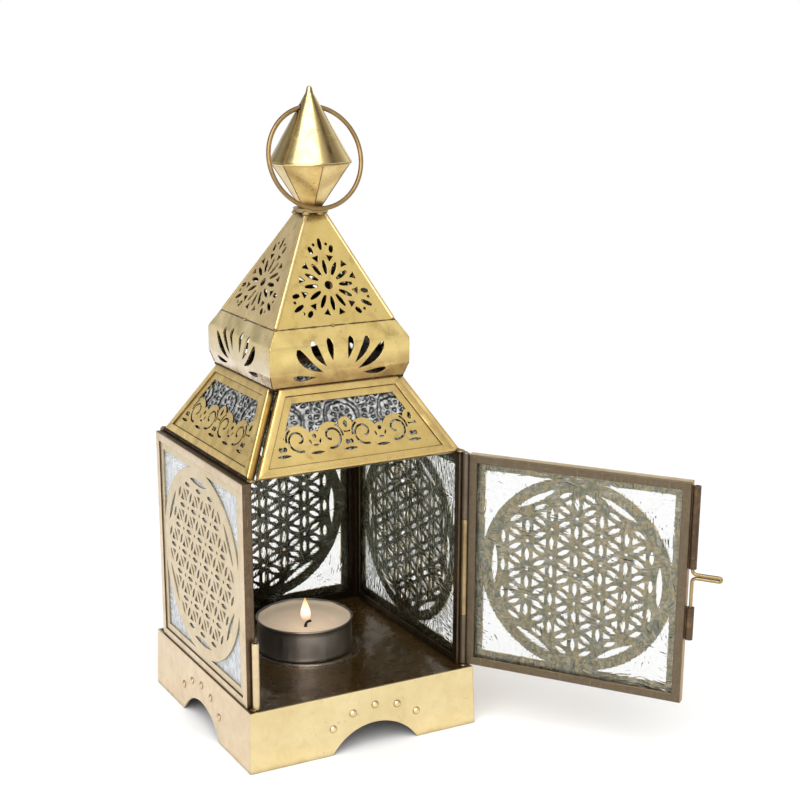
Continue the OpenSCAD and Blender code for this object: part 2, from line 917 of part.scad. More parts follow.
// One bulged side of the collar, mitred at its ends
module collar_side(turns) {
    reach = collar_out + cut;
    color(turns == LEFT ? pale_brass : brass)
        difference() {
            intersection() {
                translate([0, 0, collar_z])
                    linear_extrude(collar_h)
                        quarter(turns, reach);
                rotate([0, 0, 90 * turns])
                    rotate([90, 0, -90])
                        translate([0, collar_z, -reach])
                            linear_extrude(2 * reach)
                                collar_section();
            }
            rotate([0, 0, 90 * turns])
                translate([turns == LEFT ? -left_set : 0, 0, collar_z + collar_bulge / 2])
                    rotate([90, 0, 0])
                        linear_extrude(reach)
                            fan_holes();
        }
}

// Petal of a length and a width, with blunt ends
module blunt_petal(length, width) {
    intersection() {
        lens(blunt_share * length, width);
        circle(d = length);
    }
}

// Openings of one roof face, about the rosette's centre
module rosette_holes() {
    circle(rosette_r * hole_share);
    for (a = [0 : 30 : 330])
        rotate(a) {
            translate([rosette_r * petal_share, 0])
                blunt_petal(rosette_r * petal_length_share, rosette_r * petal_width_share);
            rotate(15)
                translate([rosette_r * leaf_share, 0])
                    rotate(180)
                        circle(rosette_r * leaf_size_share, $fn = 3);
        }
    for (a = [90, 210, 330])
        rotate(a) {
            translate([rosette_r * spray_share, 0])
                blunt_petal(rosette_r * spray_length_share, rosette_r * petal_width_share);
            for (side = [-1, 1]) {
                rotate(side * 17)
                    translate([rosette_r * bud_share, 0])
                        blunt_petal(rosette_r * bud_length_share, rosette_r * bud_width_share);
                rotate(side * 9.3)
                    translate([rosette_r * seed_share, 0])
                        circle(rosette_r * seed_size_share);
            }
        }
}

// Plan of one roof face: its foot and, leaning to one side, its top edge
module roof_plan(turns) {
    foot = [[-roof_foot, -roof_foot], [roof_foot, -roof_foot], [roof_foot, roof_foot], [-roof_foot, roof_foot]];
    top = [
        [roof_lean - roof_top, -roof_top], [roof_lean + roof_top, -roof_top],
        [roof_lean + roof_top, roof_top], [roof_lean - roof_top, roof_top],
    ];
    next = (turns + 1) % 4;
    polygon([foot[turns], foot[next], top[next], top[turns]]);
}

// One face of the roof, mitred along the pyramid's edges
module roof_face(turns) {
    lean_out = roof_lean * [0, 1, 0, -1][turns];
    lean_on = roof_lean * [1, 0, -1, 0][turns];
    set = turns == LEFT ? -left_set : 0;
    color(brass)
        intersection() {
            translate([0, 0, roof_z])
                linear_extrude(roof_h)
                    roof_plan(turns);
            side_frame(turns, roof_foot, roof_top + lean_out, roof_z, roof_h)
                translate([0, 0, -roof_sheet])
                    linear_extrude(roof_sheet)
                        difference() {
                            translate([-roof_foot - cut, -cut])
                                square([2 * (roof_foot + cut), roof_l + 4 * cut]);
                            translate([set + lean_on * rosette_y / roof_l, rosette_y])
                                rosette_holes();
                        }
        }
}

module finial_neck() {
    color(brown_brass)
        translate([roof_lean, 0, neck_z])
            cylinder(d = neck_d, h = neck_t);
}

// Open six-sided cup with a closed foot
module finial_cup() {
    slope = (cup_w - cup_foot_w) / 2 / cup_h;
    color(brass)
        translate([roof_lean, 0, cup_z])
            rotate([0, 0, cup_turn])
                difference() {
                    cylinder(d1 = cup_foot_w, d2 = cup_w, h = cup_h, $fn = 6);
                    translate([0, 0, finial_sheet])
                        cylinder(
                            d1 = cup_foot_w - 2 * finial_sheet,
                            d2 = cup_w + 2 * slope * finial_sheet - 2 * finial_sheet,
                            h = cup_h,
                            $fn = 6
                        );
                }
}

// Hollow cone with a rolled bead round its foot and two holes for the ring
module finial_cone() {
    inner_r = cone_r - finial_sheet * sqrt(1 + cone_r * cone_r / (cone_h * cone_h));
    inner_h = cone_h * inner_r / cone_r;
    color(brass)
        translate([roof_lean, 0, cone_z])
            difference() {
                rotate_extrude() {
                    polygon([[inner_r, 0], [cone_r, 0], [0, cone_h], [0, inner_h]]);
                    translate([cone_r - bead_d / 2, 0])
                        circle(d = bead_d);
                }
                translate([-cone_r, 0, hoop_z])
                    rotate([0, 90, 0])
                        cylinder(d = hoop_hole_d, h = cone_d);
            }
}

module hanging_ring() {
    color(brown_brass)
        translate([roof_lean, 0, hoop_axis_z])
            rotate([-hoop_lean, 0, 0])
                translate([0, 0, -hoop_drop])
                    rotate([90, 0, 0])
                        rotate_extrude()
                            translate([hoop_r, 0])
                                circle(d = hoop_wire);
}

module at_tealight() {
    translate([-tealight_x, tealight_y, floor_z])
        children();
}

module tealight_cup() {
    color("#9a9a9e")
        at_tealight()
            difference() {
                cylinder(d = tealight_d, h = tealight_h);
                translate([0, 0, tealight_wall])
                    cylinder(d = tealight_d - 2 * tealight_wall, h = tealight_h);
            }
}

module tealight_wax() {
    color("#e8dfd2")
        at_tealight()
            translate([0, 0, tealight_wall])
                difference() {
                    cylinder(d = tealight_d - 2 * tealight_wall, h = tealight_h - tealight_wall - wax_drop);
                    translate([-wick_x, -wick_y, tealight_wall])
                        cylinder(d = wick_d, h = tealight_h);
                }
}

module tealight_wick() {
    wick_z = 2 * tealight_wall;
    color("#2a2622")
        at_tealight()
            translate([-wick_x, -wick_y, wick_z])
                cylinder(d = wick_d, h = tealight_h - wax_drop + wick_l - wick_z);
}

base_side(FRONT, arch_set);  // base_front
base_side(RIGHT, 0);  // base_right
base_side(BACK, 0);  // base_back
base_side(LEFT, 0);  // base_left
floor_plate();
seat_ring();
body_frame(LEFT);  // left_frame
body_glass(LEFT);  // left_glass
body_grille(LEFT, 0);  // left_grille
body_frame(BACK);  // back_frame
body_glass(BACK);  // back_glass
body_grille(BACK, 90);  // back_grille
body_frame(RIGHT);  // right_frame
body_glass(RIGHT);  // right_glass
body_grille(RIGHT, 90);  // right_grille
catch_tube();
hinge_knuckle_middle();
hinge_pin();
door_frame();
door_glass();
door_grille();
hinge_knuckle_upper();
hinge_knuckle_lower();
latch_tube_upper();
latch_tube_lower();
latch_bolt();
shoulder_frame(FRONT);  // shoulder_front_frame
shoulder_glass(FRONT);  // shoulder_front_glass
shoulder_grille(FRONT);  // shoulder_front_grille
shoulder_frame(RIGHT);  // shoulder_right_frame
shoulder_glass(RIGHT);  // shoulder_right_glass
shoulder_grille(RIGHT);  // shoulder_right_grille
shoulder_frame(BACK);  // shoulder_back_frame
shoulder_glass(BACK);  // shoulder_back_glass
shoulder_grille(BACK);  // shoulder_back_grille
shoulder_frame(LEFT);  // shoulder_left_frame
shoulder_glass(LEFT);  // shoulder_left_glass
shoulder_grille(LEFT);  // shoulder_left_grille
collar_side(FRONT);  // collar_front
collar_side(RIGHT);  // collar_right
collar_side(BACK);  // collar_back
collar_side(LEFT);  // collar_left
roof_face(FRONT);  // roof_front
roof_face(RIGHT);  // roof_right
roof_face(BACK);  // roof_back
roof_face(LEFT);  // roof_left
finial_neck();
finial_cup();
finial_cone();
hanging_ring();
tealight_cup();
tealight_wax();
tealight_wick();
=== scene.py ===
"""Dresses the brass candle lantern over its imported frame.

Lengths in the classes are millimetres in the lantern's own frame: Z up, the
door side toward -Y, and the foot's centre at the origin.
"""

import logging
import math
from dataclasses import dataclass, field
from enum import Enum
from typing import Callable, Iterable, Sequence

import bmesh
import bpy
from mathutils import Matrix, Vector, noise


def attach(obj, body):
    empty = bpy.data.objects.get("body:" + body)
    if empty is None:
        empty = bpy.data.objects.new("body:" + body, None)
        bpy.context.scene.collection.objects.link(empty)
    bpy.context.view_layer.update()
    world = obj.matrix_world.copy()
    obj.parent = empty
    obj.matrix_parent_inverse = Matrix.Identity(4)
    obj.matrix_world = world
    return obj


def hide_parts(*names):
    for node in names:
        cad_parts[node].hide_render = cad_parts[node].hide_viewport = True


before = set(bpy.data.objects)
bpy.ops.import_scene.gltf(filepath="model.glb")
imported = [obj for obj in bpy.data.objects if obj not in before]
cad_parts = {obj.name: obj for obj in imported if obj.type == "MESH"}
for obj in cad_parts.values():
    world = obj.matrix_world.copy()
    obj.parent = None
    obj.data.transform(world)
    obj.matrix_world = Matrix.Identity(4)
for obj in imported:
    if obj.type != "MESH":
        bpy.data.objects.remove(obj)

MM = 0.001
LOG = logging.getLogger("lantern")
Point2 = tuple[float, float]
Colour = tuple[float, float, float]
Socket = bpy.types.NodeSocket
Material = bpy.types.Material


class Side(Enum):
    """The four sides of the lantern, as quarter turns from the front."""

    FRONT = 0
    RIGHT = 1
    BACK = 2
    LEFT = 3

    @property
    def label(self) -> str:
        """Returns the side's name as the frame's nodes spell it."""
        return self.name.lower()

    @property
    def turn(self) -> Matrix:
        """Returns the quarter turns from the front to this side."""
        return Matrix.Rotation(math.radians(90 * self.value), 4, "Z")


class Body(Enum):
    """The bodies that pieces ride on."""

    LANTERN = "lantern"
    DOOR = "door"
    BOLT = "bolt"
    RING = "ring"
    CANDLE = "candle"


def side_matrix(side: Side, foot: float, top: float, z: float, height: float) -> Matrix:
    """Finds the frame of a leaning side.

    Args:
        side: The side that is wanted.
        foot: Distance of its foot from the lantern's axis.
        top: Distance of its top edge from the axis.
        z: Height of the foot.
        height: Rise from the foot to the top edge.

    Returns:
        The matrix from the side's x (along), y (up) and z (out) to the lantern.
    """
    tilt = Matrix.Rotation(math.atan2(height, foot - top), 4, "X")
    return side.turn @ Matrix.Translation((0, -foot, z)) @ tilt


def ripple(x: float, y: float, z: float) -> float:
    """Returns a smooth noise about nought at a place."""
    return noise.noise(Vector((x, y, z)))


def draw_in(point: Vector, sunk: float) -> None:
    """Moves a point toward the Z axis by a distance."""
    radius = math.hypot(point.x, point.y)
    point.x, point.y = (v * (radius - sunk) / radius for v in (point.x, point.y))


def in_scene(name: str, data: bpy.types.ID) -> bpy.types.Object:
    """Puts a new object in the scene.

    Args:
        name: The object's name.
        data: The mesh, light or camera that it holds.

    Returns:
        The object.
    """
    made = bpy.data.objects.new(name, data)
    bpy.context.scene.collection.objects.link(made)
    return made


@dataclass
class Solid:
    """Points, in millimetres, and faces gathered for one piece."""

    points: list[Vector] = field(default_factory=list)
    faces: list[tuple[int, ...]] = field(default_factory=list)
    figure: list[float] = field(default_factory=list)

    def add(self, points: Iterable[Sequence[float]], faces: Iterable[Sequence[int]]) -> None:
        """Adds points and the faces among them.

        Args:
            points: The points.
            faces: The faces, which number these points from nought.
        """
        start = len(self.points)
        self.points.extend(Vector(p) for p in points)
        self.faces.extend(tuple(i + start for i in f) for f in faces)

    def join(self, other: "Solid") -> None:
        """Adds another solid's points and faces."""
        self.add(other.points, other.faces)

    def bridge(self, low: Sequence[int], high: Sequence[int]) -> None:
        """Joins two closed rows of points with a band of faces.

        Args:
            low: The numbers of the first row's points, in order.
            high: The numbers of the second row's, one for each of the first.
        """
        for k, start in enumerate(low):
            n = (k + 1) % len(low)
            face = tuple(dict.fromkeys((start, low[n], high[n], high[k])))
            if len(face) > 2:
                self.faces.append(face)

    def moved(self, matrix: Matrix) -> "Solid":
        """Returns a copy carried through a matrix."""
        return Solid([matrix @ p for p in self.points], list(self.faces), list(self.figure))

    def piece(
        self,
        name: str,
        body: Body,
        material: Material,
        slot: str,
        stands_for: Sequence[str] = (),
        sharp: float = 35,
        shadow: bool = True,
    ) -> bpy.types.Object:
        """Makes a Blender piece that rides on a body.

        Args:
            name: The piece's name.
            body: The body that carries it.
            material: The finish it wears.
            slot: The record's material slot; not used.
            stands_for: The frame's nodes that it hides.
            sharp: Angle in degrees above which an edge stays sharp.
            shadow: Whether the piece casts a shadow.

        Returns:
            The new object.
        """
        mesh = bpy.data.meshes.new(name)
        work = bmesh.new()
        verts = [work.verts.new(p * MM) for p in self.points]
        for face in self.faces:
            work.faces.new([verts[i] for i in face])
        bmesh.ops.recalc_face_normals(work, faces=work.faces)
        work.to_mesh(mesh)
        work.free()
        if self.figure:
            mesh.attributes.new("figure", "FLOAT", "POINT").data.foreach_set("value", self.figure)
        mesh.polygons.foreach_set("use_smooth", [True] * len(mesh.polygons))
        mesh.set_sharp_from_angle(angle=math.radians(sharp))
        mesh.materials.append(material)
        made = in_scene(name, mesh)
        made.visible_shadow = shadow
        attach(made, body.value)
        if stands_for:
            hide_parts(*stands_for)
        LOG.info("%s: %d points on %s", name, len(self.points), body.value)
        return made


def spun(profile: Sequence[Point2], steps: int = 96, closed: bool = False) -> Solid:
    """Spins a profile about the Z axis.

    Args:
        profile: Radius and height of each point, from first to last.
        steps: Number of steps in a full turn.
        closed: Whether the profile's last point joins its first.

    Returns:
        The solid, with a single point wherever the radius is nought.
    """
    solid = Solid()
    rows: list[list[int]] = []
    for radius, z in profile:
        if radius < 1e-6:
            solid.points.append(Vector((0, 0, z)))
            rows.append([len(solid.points) - 1] * steps)
            continue
        start = len(solid.points)
        for k in range(steps):
            a = 2 * math.pi * k / steps
            solid.points.append(Vector((radius * math.cos(a), radius * math.sin(a), z)))
        rows.append(list(range(start, start + steps)))
    pairs = list(zip(rows, rows[1:]))
    if closed:
        pairs.append((rows[-1], rows[0]))
    for low, high in pairs:
        solid.bridge(low, high)
    return solid


def tube(path: Sequence[Vector], radii: Sequence[float], steps: int = 16) -> Solid:
    """Sweeps a round section along a path, with closed ends.

    Args:
        path: Points of the centreline.
        radii: Radius at each point.
        steps: Number of points round the section.

    Returns:
        The solid.
    """
    solid = Solid()
    side = Vector((1, 0, 0))
    for i, (point, radius) in enumerate(zip(path, radii)):
        along = (path[min(i + 1, len(path) - 1)] - path[max(i - 1, 0)]).normalized()
        if abs(along.dot(side)) > 0.95:
            side = Vector((0, 1, 0))
        side = (side - along * side.dot(along)).normalized()
        other = along.cross(side)
        for k in range(steps):
            a = 2 * math.pi * k / steps
            solid.points.append(point + radius * (math.cos(a) * side + math.sin(a) * other))
    rows = [tuple(range(i * steps, (i + 1) * steps)) for i in range(len(path))]
    for low, high in zip(rows, rows[1:]):
        solid.bridge(low, high)
    solid.faces += [rows[0], rows[-1]]
    return solid


def strand(
    start: Vector, end: Vector, steps: int, radius: Callable[[int], float], sides: int
) -> Solid:
    """Sweeps a straight strand whose radius changes from step to step.

    Args:
        start: Its first end.
        end: Its last end.
        steps: Number of steps along it.
        radius: Gives the radius at a step.
        sides: Number of points round its section.

    Returns:
        The solid.
    """
    along = range(steps + 1)
    return tube([start.lerp(end, k / steps) for k in along], [radius(k) for k in along], sides)


def arc(centre: Point2, radius: float, start: float, end: float, steps: int = 5) -> list[Point2]:
    """Returns the points of an arc between two angles in degrees."""
    turns = [math.radians(start + (end - start) * k / steps) for k in range(steps + 1)]
    return [(centre[0] + radius * math.cos(a), centre[1] + radius * math.sin(a)) for a in turns]


class Sheet:
    """A material, or a world, under construction, with its shader nodes."""

    def __init__(self, name: str) -> None:
        """Starts an empty material.

        Args:
            name: The material's name.
        """
        self.material = bpy.data.materials.new(name)
        self.material.use_nodes = True
        self.start(self.material.node_tree, "ShaderNodeOutputMaterial")

    @classmethod
    def of(cls, tree: bpy.types.NodeTree, output: str) -> "Sheet":
        """Starts on the node tree of something else than a material.

        Args:
            tree: The node tree.
            output: The type name of its output node.

        Returns:
            The sheet, which has no material.
        """
        made = cls.__new__(cls)
        made.material = None
        made.start(tree, output)
        return made

    def start(self, tree: bpy.types.NodeTree, output: str) -> None:
        """Empties the tree and gives it an output and its coordinates.

        Args:
            tree: The node tree.
            output: The type name of its output node.
        """
        self.tree = tree
        self.tree.nodes.clear()
        self.out = self.tree.nodes.new(output)
        self.where = self.add("ShaderNodeTexCoord")

    def add(self, kind: str, inputs: dict | None = None, **settings: object) -> bpy.types.Node:
        """Adds a node.

        Args:
            kind: The node's type name.
            inputs: Values, or sockets to link, by input name or number.
            **settings: Properties of the node.

        Returns:
            The new node.
        """
        node = self.tree.nodes.new(kind)
        for key, value in settings.items():
            setattr(node, key, value)
        for key, value in (inputs or {}).items():
            if isinstance(value, Socket):
                self.tree.links.new(value, node.inputs[key])
            else:
                node.inputs[key].default_value = value
        return node

    def place(self, scale: Sequence[float] = (1, 1, 1)) -> Socket:
        """Finds the object's own coordinates, stretched by a scale.

        Args:
            scale: The stretch along X, Y and Z.

        Returns:
            The coordinates.
        """
        own = self.where.outputs["Object"]
        if tuple(scale) == (1, 1, 1):
            return own
        return self.add("ShaderNodeMapping", {"Vector": own, "Scale": scale}).outputs["Vector"]

    def cloud(
        self,
        scale: float,
        detail: float = 3,
        stretch: Sequence[float] = (1, 1, 1),
        distortion: float = 0,
    ) -> Socket:
        """Makes a noise between nought and one.

        Args:
            scale: How many waves there are to a metre.
            detail: How many finer layers lie on them.
            stretch: The stretch along X, Y and Z.
            distortion: How far the waves are bent.

        Returns:
            The noise.
        """
        inputs = {"Scale": scale, "Detail": detail, "Distortion": distortion}
        inputs["Vector"] = self.place(stretch)
        return self.add("ShaderNodeTexNoise", inputs).outputs[0]

    def warped(self, reach: float, scale: float) -> Socket:
        """Finds the object's coordinates, swayed by a slow noise.

        Args:
            reach: How far they sway.
            scale: How many waves there are to a metre.

        Returns:
            The coordinates.
        """
        own = self.place()
        slow = self.add("ShaderNodeTexNoise", {"Vector": own, "Scale": scale, "Detail": 1})
        drift = {0: slow.outputs["Color"], "Scale": reach}
        sway = self.add("ShaderNodeVectorMath", drift, operation="SCALE").outputs[0]
        return self.add("ShaderNodeVectorMath", {0: own, 1: sway}, operation="ADD").outputs[0]

    def strokes(self, where: Socket, scale: Sequence[float]) -> Socket:
        """Makes a noise drawn out along the axes whose scale is low.

        Args:
            where: The coordinates.
            scale: How many waves there are to a metre along X, Y and Z.

        Returns:
            The noise.
        """
        drawn = self.add("ShaderNodeMapping", {"Vector": where, "Scale": scale}).outputs[0]
        single = {"Vector": drawn, "Scale": 1, "Detail": 0}
        return self.add("ShaderNodeTexNoise", single).outputs[0]

    def nearness(self, reach: float) -> Socket:
        """Returns how open a point is to its surroundings within a reach."""
        return self.add("ShaderNodeAmbientOcclusion", {"Distance": reach}, samples=6).outputs["AO"]

    def remap(
        self, value: Socket, low: float, high: float, to_low: float, to_high: float
    ) -> Socket:
        """Carries, and clamps, a value from one range to another.

        Args:
            value: The value.
            low: The foot of its range.
            high: The top of its range.
            to_low: What the foot becomes.
            to_high: What the top becomes.

        Returns:
            The value in the new range.
        """
        ends = {"From Min": low, "From Max": high, "To Min": to_low, "To Max": to_high}
        return self.add("ShaderNodeMapRange", {"Value": value, **ends}).outputs["Result"]

    def maths(self, operation: str, *values: object) -> Socket:
        """Returns the result of one operation on sockets or numbers."""
        inputs = dict(enumerate(values))
        return self.add("ShaderNodeMath", inputs, operation=operation).outputs["Value"]

    def mix(self, share: object, first: object, second: object) -> Socket:
        """Returns one colour blended into another."""
        inputs = {0: share, 6: first, 7: second}
        return self.add("ShaderNodeMix", inputs, data_type="RGBA", clamp_factor=True).outputs[2]

    def blend(self, share: object, first: Socket, second: Socket) -> Socket:
        """Returns one shader blended into another."""
        return self.add("ShaderNodeMixShader", {0: share, 1: first, 2: second}).outputs[0]

    def ramp(self, value: Socket, stops: Sequence[tuple[float, Colour]]) -> Socket:
        """Makes a colour that changes along a value.

        Args:
            value: The value.
            stops: Places along it and their colours, from first to last.

        Returns:
            The colour.
        """
        node = self.add("ShaderNodeValToRGB", {"Fac": value})
        held = node.color_ramp.elements
        for end, (at, colour) in ((held[0], stops[0]), (held[1], stops[-1])):
            end.position, end.color = at, rgba(colour)
        for at, colour in stops[1:-1]:
            held.new(at).color = rgba(colour)
        return node.outputs["Color"]

    def relief(
        self,
        height: Socket,
        strength: object,
        distance: float,
        normal: Socket | None = None,
    ) -> Socket:
        """Makes a normal that follows a height.

        Args:
            height: The height, from nought to one.
            strength: How much of the relief is used.
            distance: The relief's depth in metres.
            normal: The normal that it starts from.

        Returns:
            The normal.
        """
        inputs: dict = {"Height": height, "Strength": strength, "Distance": distance}
        if normal is not None:
            inputs["Normal"] = normal
        return self.add("ShaderNodeBump", inputs).outputs["Normal"]

    def height(self, vector: Socket) -> Socket:
        """Returns a vector's Z."""
        return self.add("ShaderNodeSeparateXYZ", {0: vector}).outputs["Z"]

    def dot(self, vector: Socket, direction: Sequence[float]) -> Socket:
        """Returns the dot product of a vector and a fixed direction."""
        inputs = {0: vector, 1: direction}
        return self.add("ShaderNodeVectorMath", inputs, operation="DOT_PRODUCT").outputs["Value"]

    def toward(self, vector: Socket, azimuth: float) -> Socket:
        """Returns how far a vector points toward an azimuth in degrees."""
        turn = math.radians(azimuth)
        return self.dot(vector, (math.sin(turn), -math.cos(turn), 0))

    def facing(self, direction: Sequence[float], low: float, high: float) -> Socket:
        """Returns how far a surface faces a direction of the object."""
        return self.remap(self.dot(self.where.outputs["Normal"], direction), low, high, 0, 1)

    def surface(self, inputs: dict) -> Material:
        """Returns the material with one principled shader of these inputs."""
        return self.finish(self.add("ShaderNodeBsdfPrincipled", inputs).outputs["BSDF"])

    def finish(self, shader: Socket) -> Material:
        """Links the shader to the output and returns the material."""
        self.tree.links.new(shader, self.out.inputs["Surface"])
        return self.material


def rgba(colour: Colour) -> tuple[float, float, float, float]:
    """Returns a colour with full cover."""
    return (*colour, 1.0)


@dataclass(frozen=True)
class BrassFinish:
    """Sheet brass: mottled, scratched, with dust and painted shade in its corners.

    Reaches are in metres, and the heights of the foot band in millimetres. A
    streak is painted dark reflection and shade: an azimuth, half a width in
    degrees, and a share of the stain colour. It lies on the faces that look
    that way, and slant is how upright they stand.
    """

    name: str
    colour: Colour
    second: Colour
    # Dark colour of random dust flecks and of the painted shade in corners and creases.
    grime_and_shade: Colour = (0.085, 0.05, 0.022)
    # Brown of stains and scorch marks, also laid on as painted shade and painted dark reflections;
    # on the left collar it is pale, a painted highlight.
    heat: Colour = (0.34, 0.21, 0.08)
    roughness: float = 0.3
    metallic: float = 1.0
    scratches: float = 0.5
    dents: float = 0.5
    grime_and_shade_reach: float = 0.003
    grime_and_shade_share: float = 0.85
    heat_and_shade_share: float = 0.0
    heat_and_shade_reach: float = 0.012
    stains: float = 0.4
    coat: float = 0.0
    # Faces turned inward take the inner colours: painted shade of the lantern's inside, and the
    # door's brown inner face.
    inward: tuple[float, float, float] | None = None
    inner: Colour = (0.022, 0.016, 0.011)
    inner_second: Colour | None = None
    inner_edge: tuple[float, float] = (-0.3, 0.1)
    foot_band_stain_and_light: tuple[float, float, float] | None = None
    patina: float = 0.0
    painted_dark_streaks: tuple[tuple[float, float, float], ...] = ()
    slant: float = 0.87

    def weathered(self, s: Sheet, mottle: Socket) -> Socket:
        """Mixes the sheet's own colour with its stains and scorch marks, and with
        painted shade near crevices, painted dark streaks, a foot band of stain
        and painted light, and the painted shade of the inside.

        Args:
            s: The material under construction.
            mottle: The noise that the finish shares.

        Returns:
            The colour before its corners darken with dust and painted shade.
        """
        blend = s.maths("MULTIPLY_ADD", mottle, 0.4, s.maths("MULTIPLY", s.cloud(32, 3), 0.6))
        tone = s.remap(blend, 0.38, 0.62, 0, 1)
        colour = s.mix(tone, rgba(self.colour), rgba(self.second))
        stain = s.remap(s.cloud(120, 6, distortion=1.5), 0.58, 0.72, 0, self.stains)
        colour = s.mix(stain, colour, rgba(self.heat))
        fleck = s.remap(s.cloud(600, 2), 0.70, 0.78, 0, 0.3)
        colour = s.mix(fleck, colour, rgba(self.grime_and_shade))
        if self.heat_and_shade_share > 0:
            # Painted shade with scorch marks: faces near crevices, found by ambient occlusion, are
            # browned.
            occlusion_shade = s.remap(s.nearness(self.heat_and_shade_reach), 0.45, 0.95, self.heat_and_shade_share, 0)
            patch = s.remap(s.cloud(85, 4, distortion=1.0), 0.35, 0.65, 0.15, 1.2)
            colour = s.mix(s.maths("MULTIPLY", occlusion_shade, patch), colour, rgba(self.heat))
        if self.patina > 0:
            broad = s.remap(s.cloud(48, 5, distortion=1.6), 0.48, 0.68, 0, self.patina)
            colour = s.mix(broad, colour, rgba(self.heat))
        # Painted dark reflections and shade: faces that look toward an azimuth take the brown
        # colour.
        for azimuth, half, share in self.painted_dark_streaks:
            ahead = s.toward(s.where.outputs["Normal"], azimuth)
            edge, core = (self.slant * math.cos(math.radians(half * k)) for k in (1.0, 0.35))
            colour = s.mix(s.remap(ahead, edge, core, 0, share), colour, rgba(self.heat))
        # Foot band below a ragged height: brown stain with painted shade by the shoulder on most
        # collars, a pale painted highlight on the left one.
        if self.foot_band_stain_and_light is not None:
            low, high, share = self.foot_band_stain_and_light
            ragged = 5.0
            z = s.height(s.where.outputs["Object"])
            edge = s.maths("MULTIPLY_ADD", s.cloud(130, 4, distortion=1.2), -ragged * MM, z)
            low, high = ((v - ragged / 2) * MM for v in (low, high))
            foot = s.remap(edge, low, high, share, 0)
            patch = s.remap(s.cloud(210, 4), 0.3, 0.6, 0.6, 1.1)
            colour = s.mix(s.maths("MULTIPLY", foot, patch), colour, rgba(self.heat))
        # Painted shade of the inside: faces turned from the side that shows take the dark inner
        # colours.
        if self.inward is not None:
            shows = s.facing(tuple(-v for v in self.inward), *self.inner_edge)
            second = self.inner_second or tuple(c * 1.6 for c in self.inner)
            patch = s.remap(s.cloud(330, 3, distortion=2.0), 0.42, 0.6, 0, 1)
            inner = s.mix(patch, rgba(self.inner), rgba(second))
            colour = s.mix(shows, inner, colour)
        return colour

    def make(self) -> Material:
        """Builds the material.

        Returns:
            The brass, with a dark inside colour on the faces that turn from the
            side that shows, where an inward direction is given: painted shade inside
            the lantern, and the door's brown inner face.
        """
        s = Sheet(self.name)
        mottle = s.cloud(240, 5, distortion=0.6)
        upright = s.remap(s.cloud(1, 3, (2600, 2600, 60)), 0.66, 0.74, 0, 1)
        level = s.remap(s.cloud(1, 3, (70, 70, 3200)), 0.68, 0.76, 0, 1)
        scratch = s.maths("MAXIMUM", upright, level)
        light = tuple(min(1.0, c * 1.25 + 0.05) for c in self.colour)
        colour = self.weathered(s, mottle)
        colour = s.mix(s.maths("MULTIPLY", scratch, 0.35 * self.scratches), colour, rgba(light))
        # Painted shade with some dust: where ambient occlusion finds a corner or crease shut in,
        # the dark colour is laid on.
        occlusion_shade = s.remap(s.nearness(self.grime_and_shade_reach), 0.30, 0.88, self.grime_and_shade_share, 0)
        dirt_and_shade = s.maths("MULTIPLY", occlusion_shade, s.remap(mottle, 0.3, 0.7, 0.6, 1.1))
        colour = s.mix(dirt_and_shade, colour, rgba(self.grime_and_shade))
        rough = s.remap(mottle, 0.3, 0.7, self.roughness - 0.06, self.roughness + 0.1)
        rough = s.maths("MULTIPLY_ADD", dirt_and_shade, 0.25, rough)
        edge = s.add("ShaderNodeBevel", {"Radius": 0.0003}, samples=4).outputs["Normal"]
        normal = s.relief(s.cloud(48, 2), 0.24 * self.dents, 0.004, edge)
        normal = s.relief(mottle, 0.035 * self.dents, 0.0008, normal)
        fine = s.maths("MULTIPLY_ADD", s.cloud(1500, 2), 0.15, scratch)
        normal = s.relief(fine, 0.12 * self.scratches, 0.0001, normal)
        return s.surface(
            {
                "Base Color": colour,
                "Metallic": self.metallic,
                "Roughness": rough,
                "Normal": normal,
                "Coat Weight": self.coat,
                "Coat Roughness": 0.05,
                "Coat Normal": normal,
            }
        )


# Painted dark for the figured glass.
PAINTED_DARK = (0.02, 0.02, 0.02)
GLASS_BENDS = 1.5


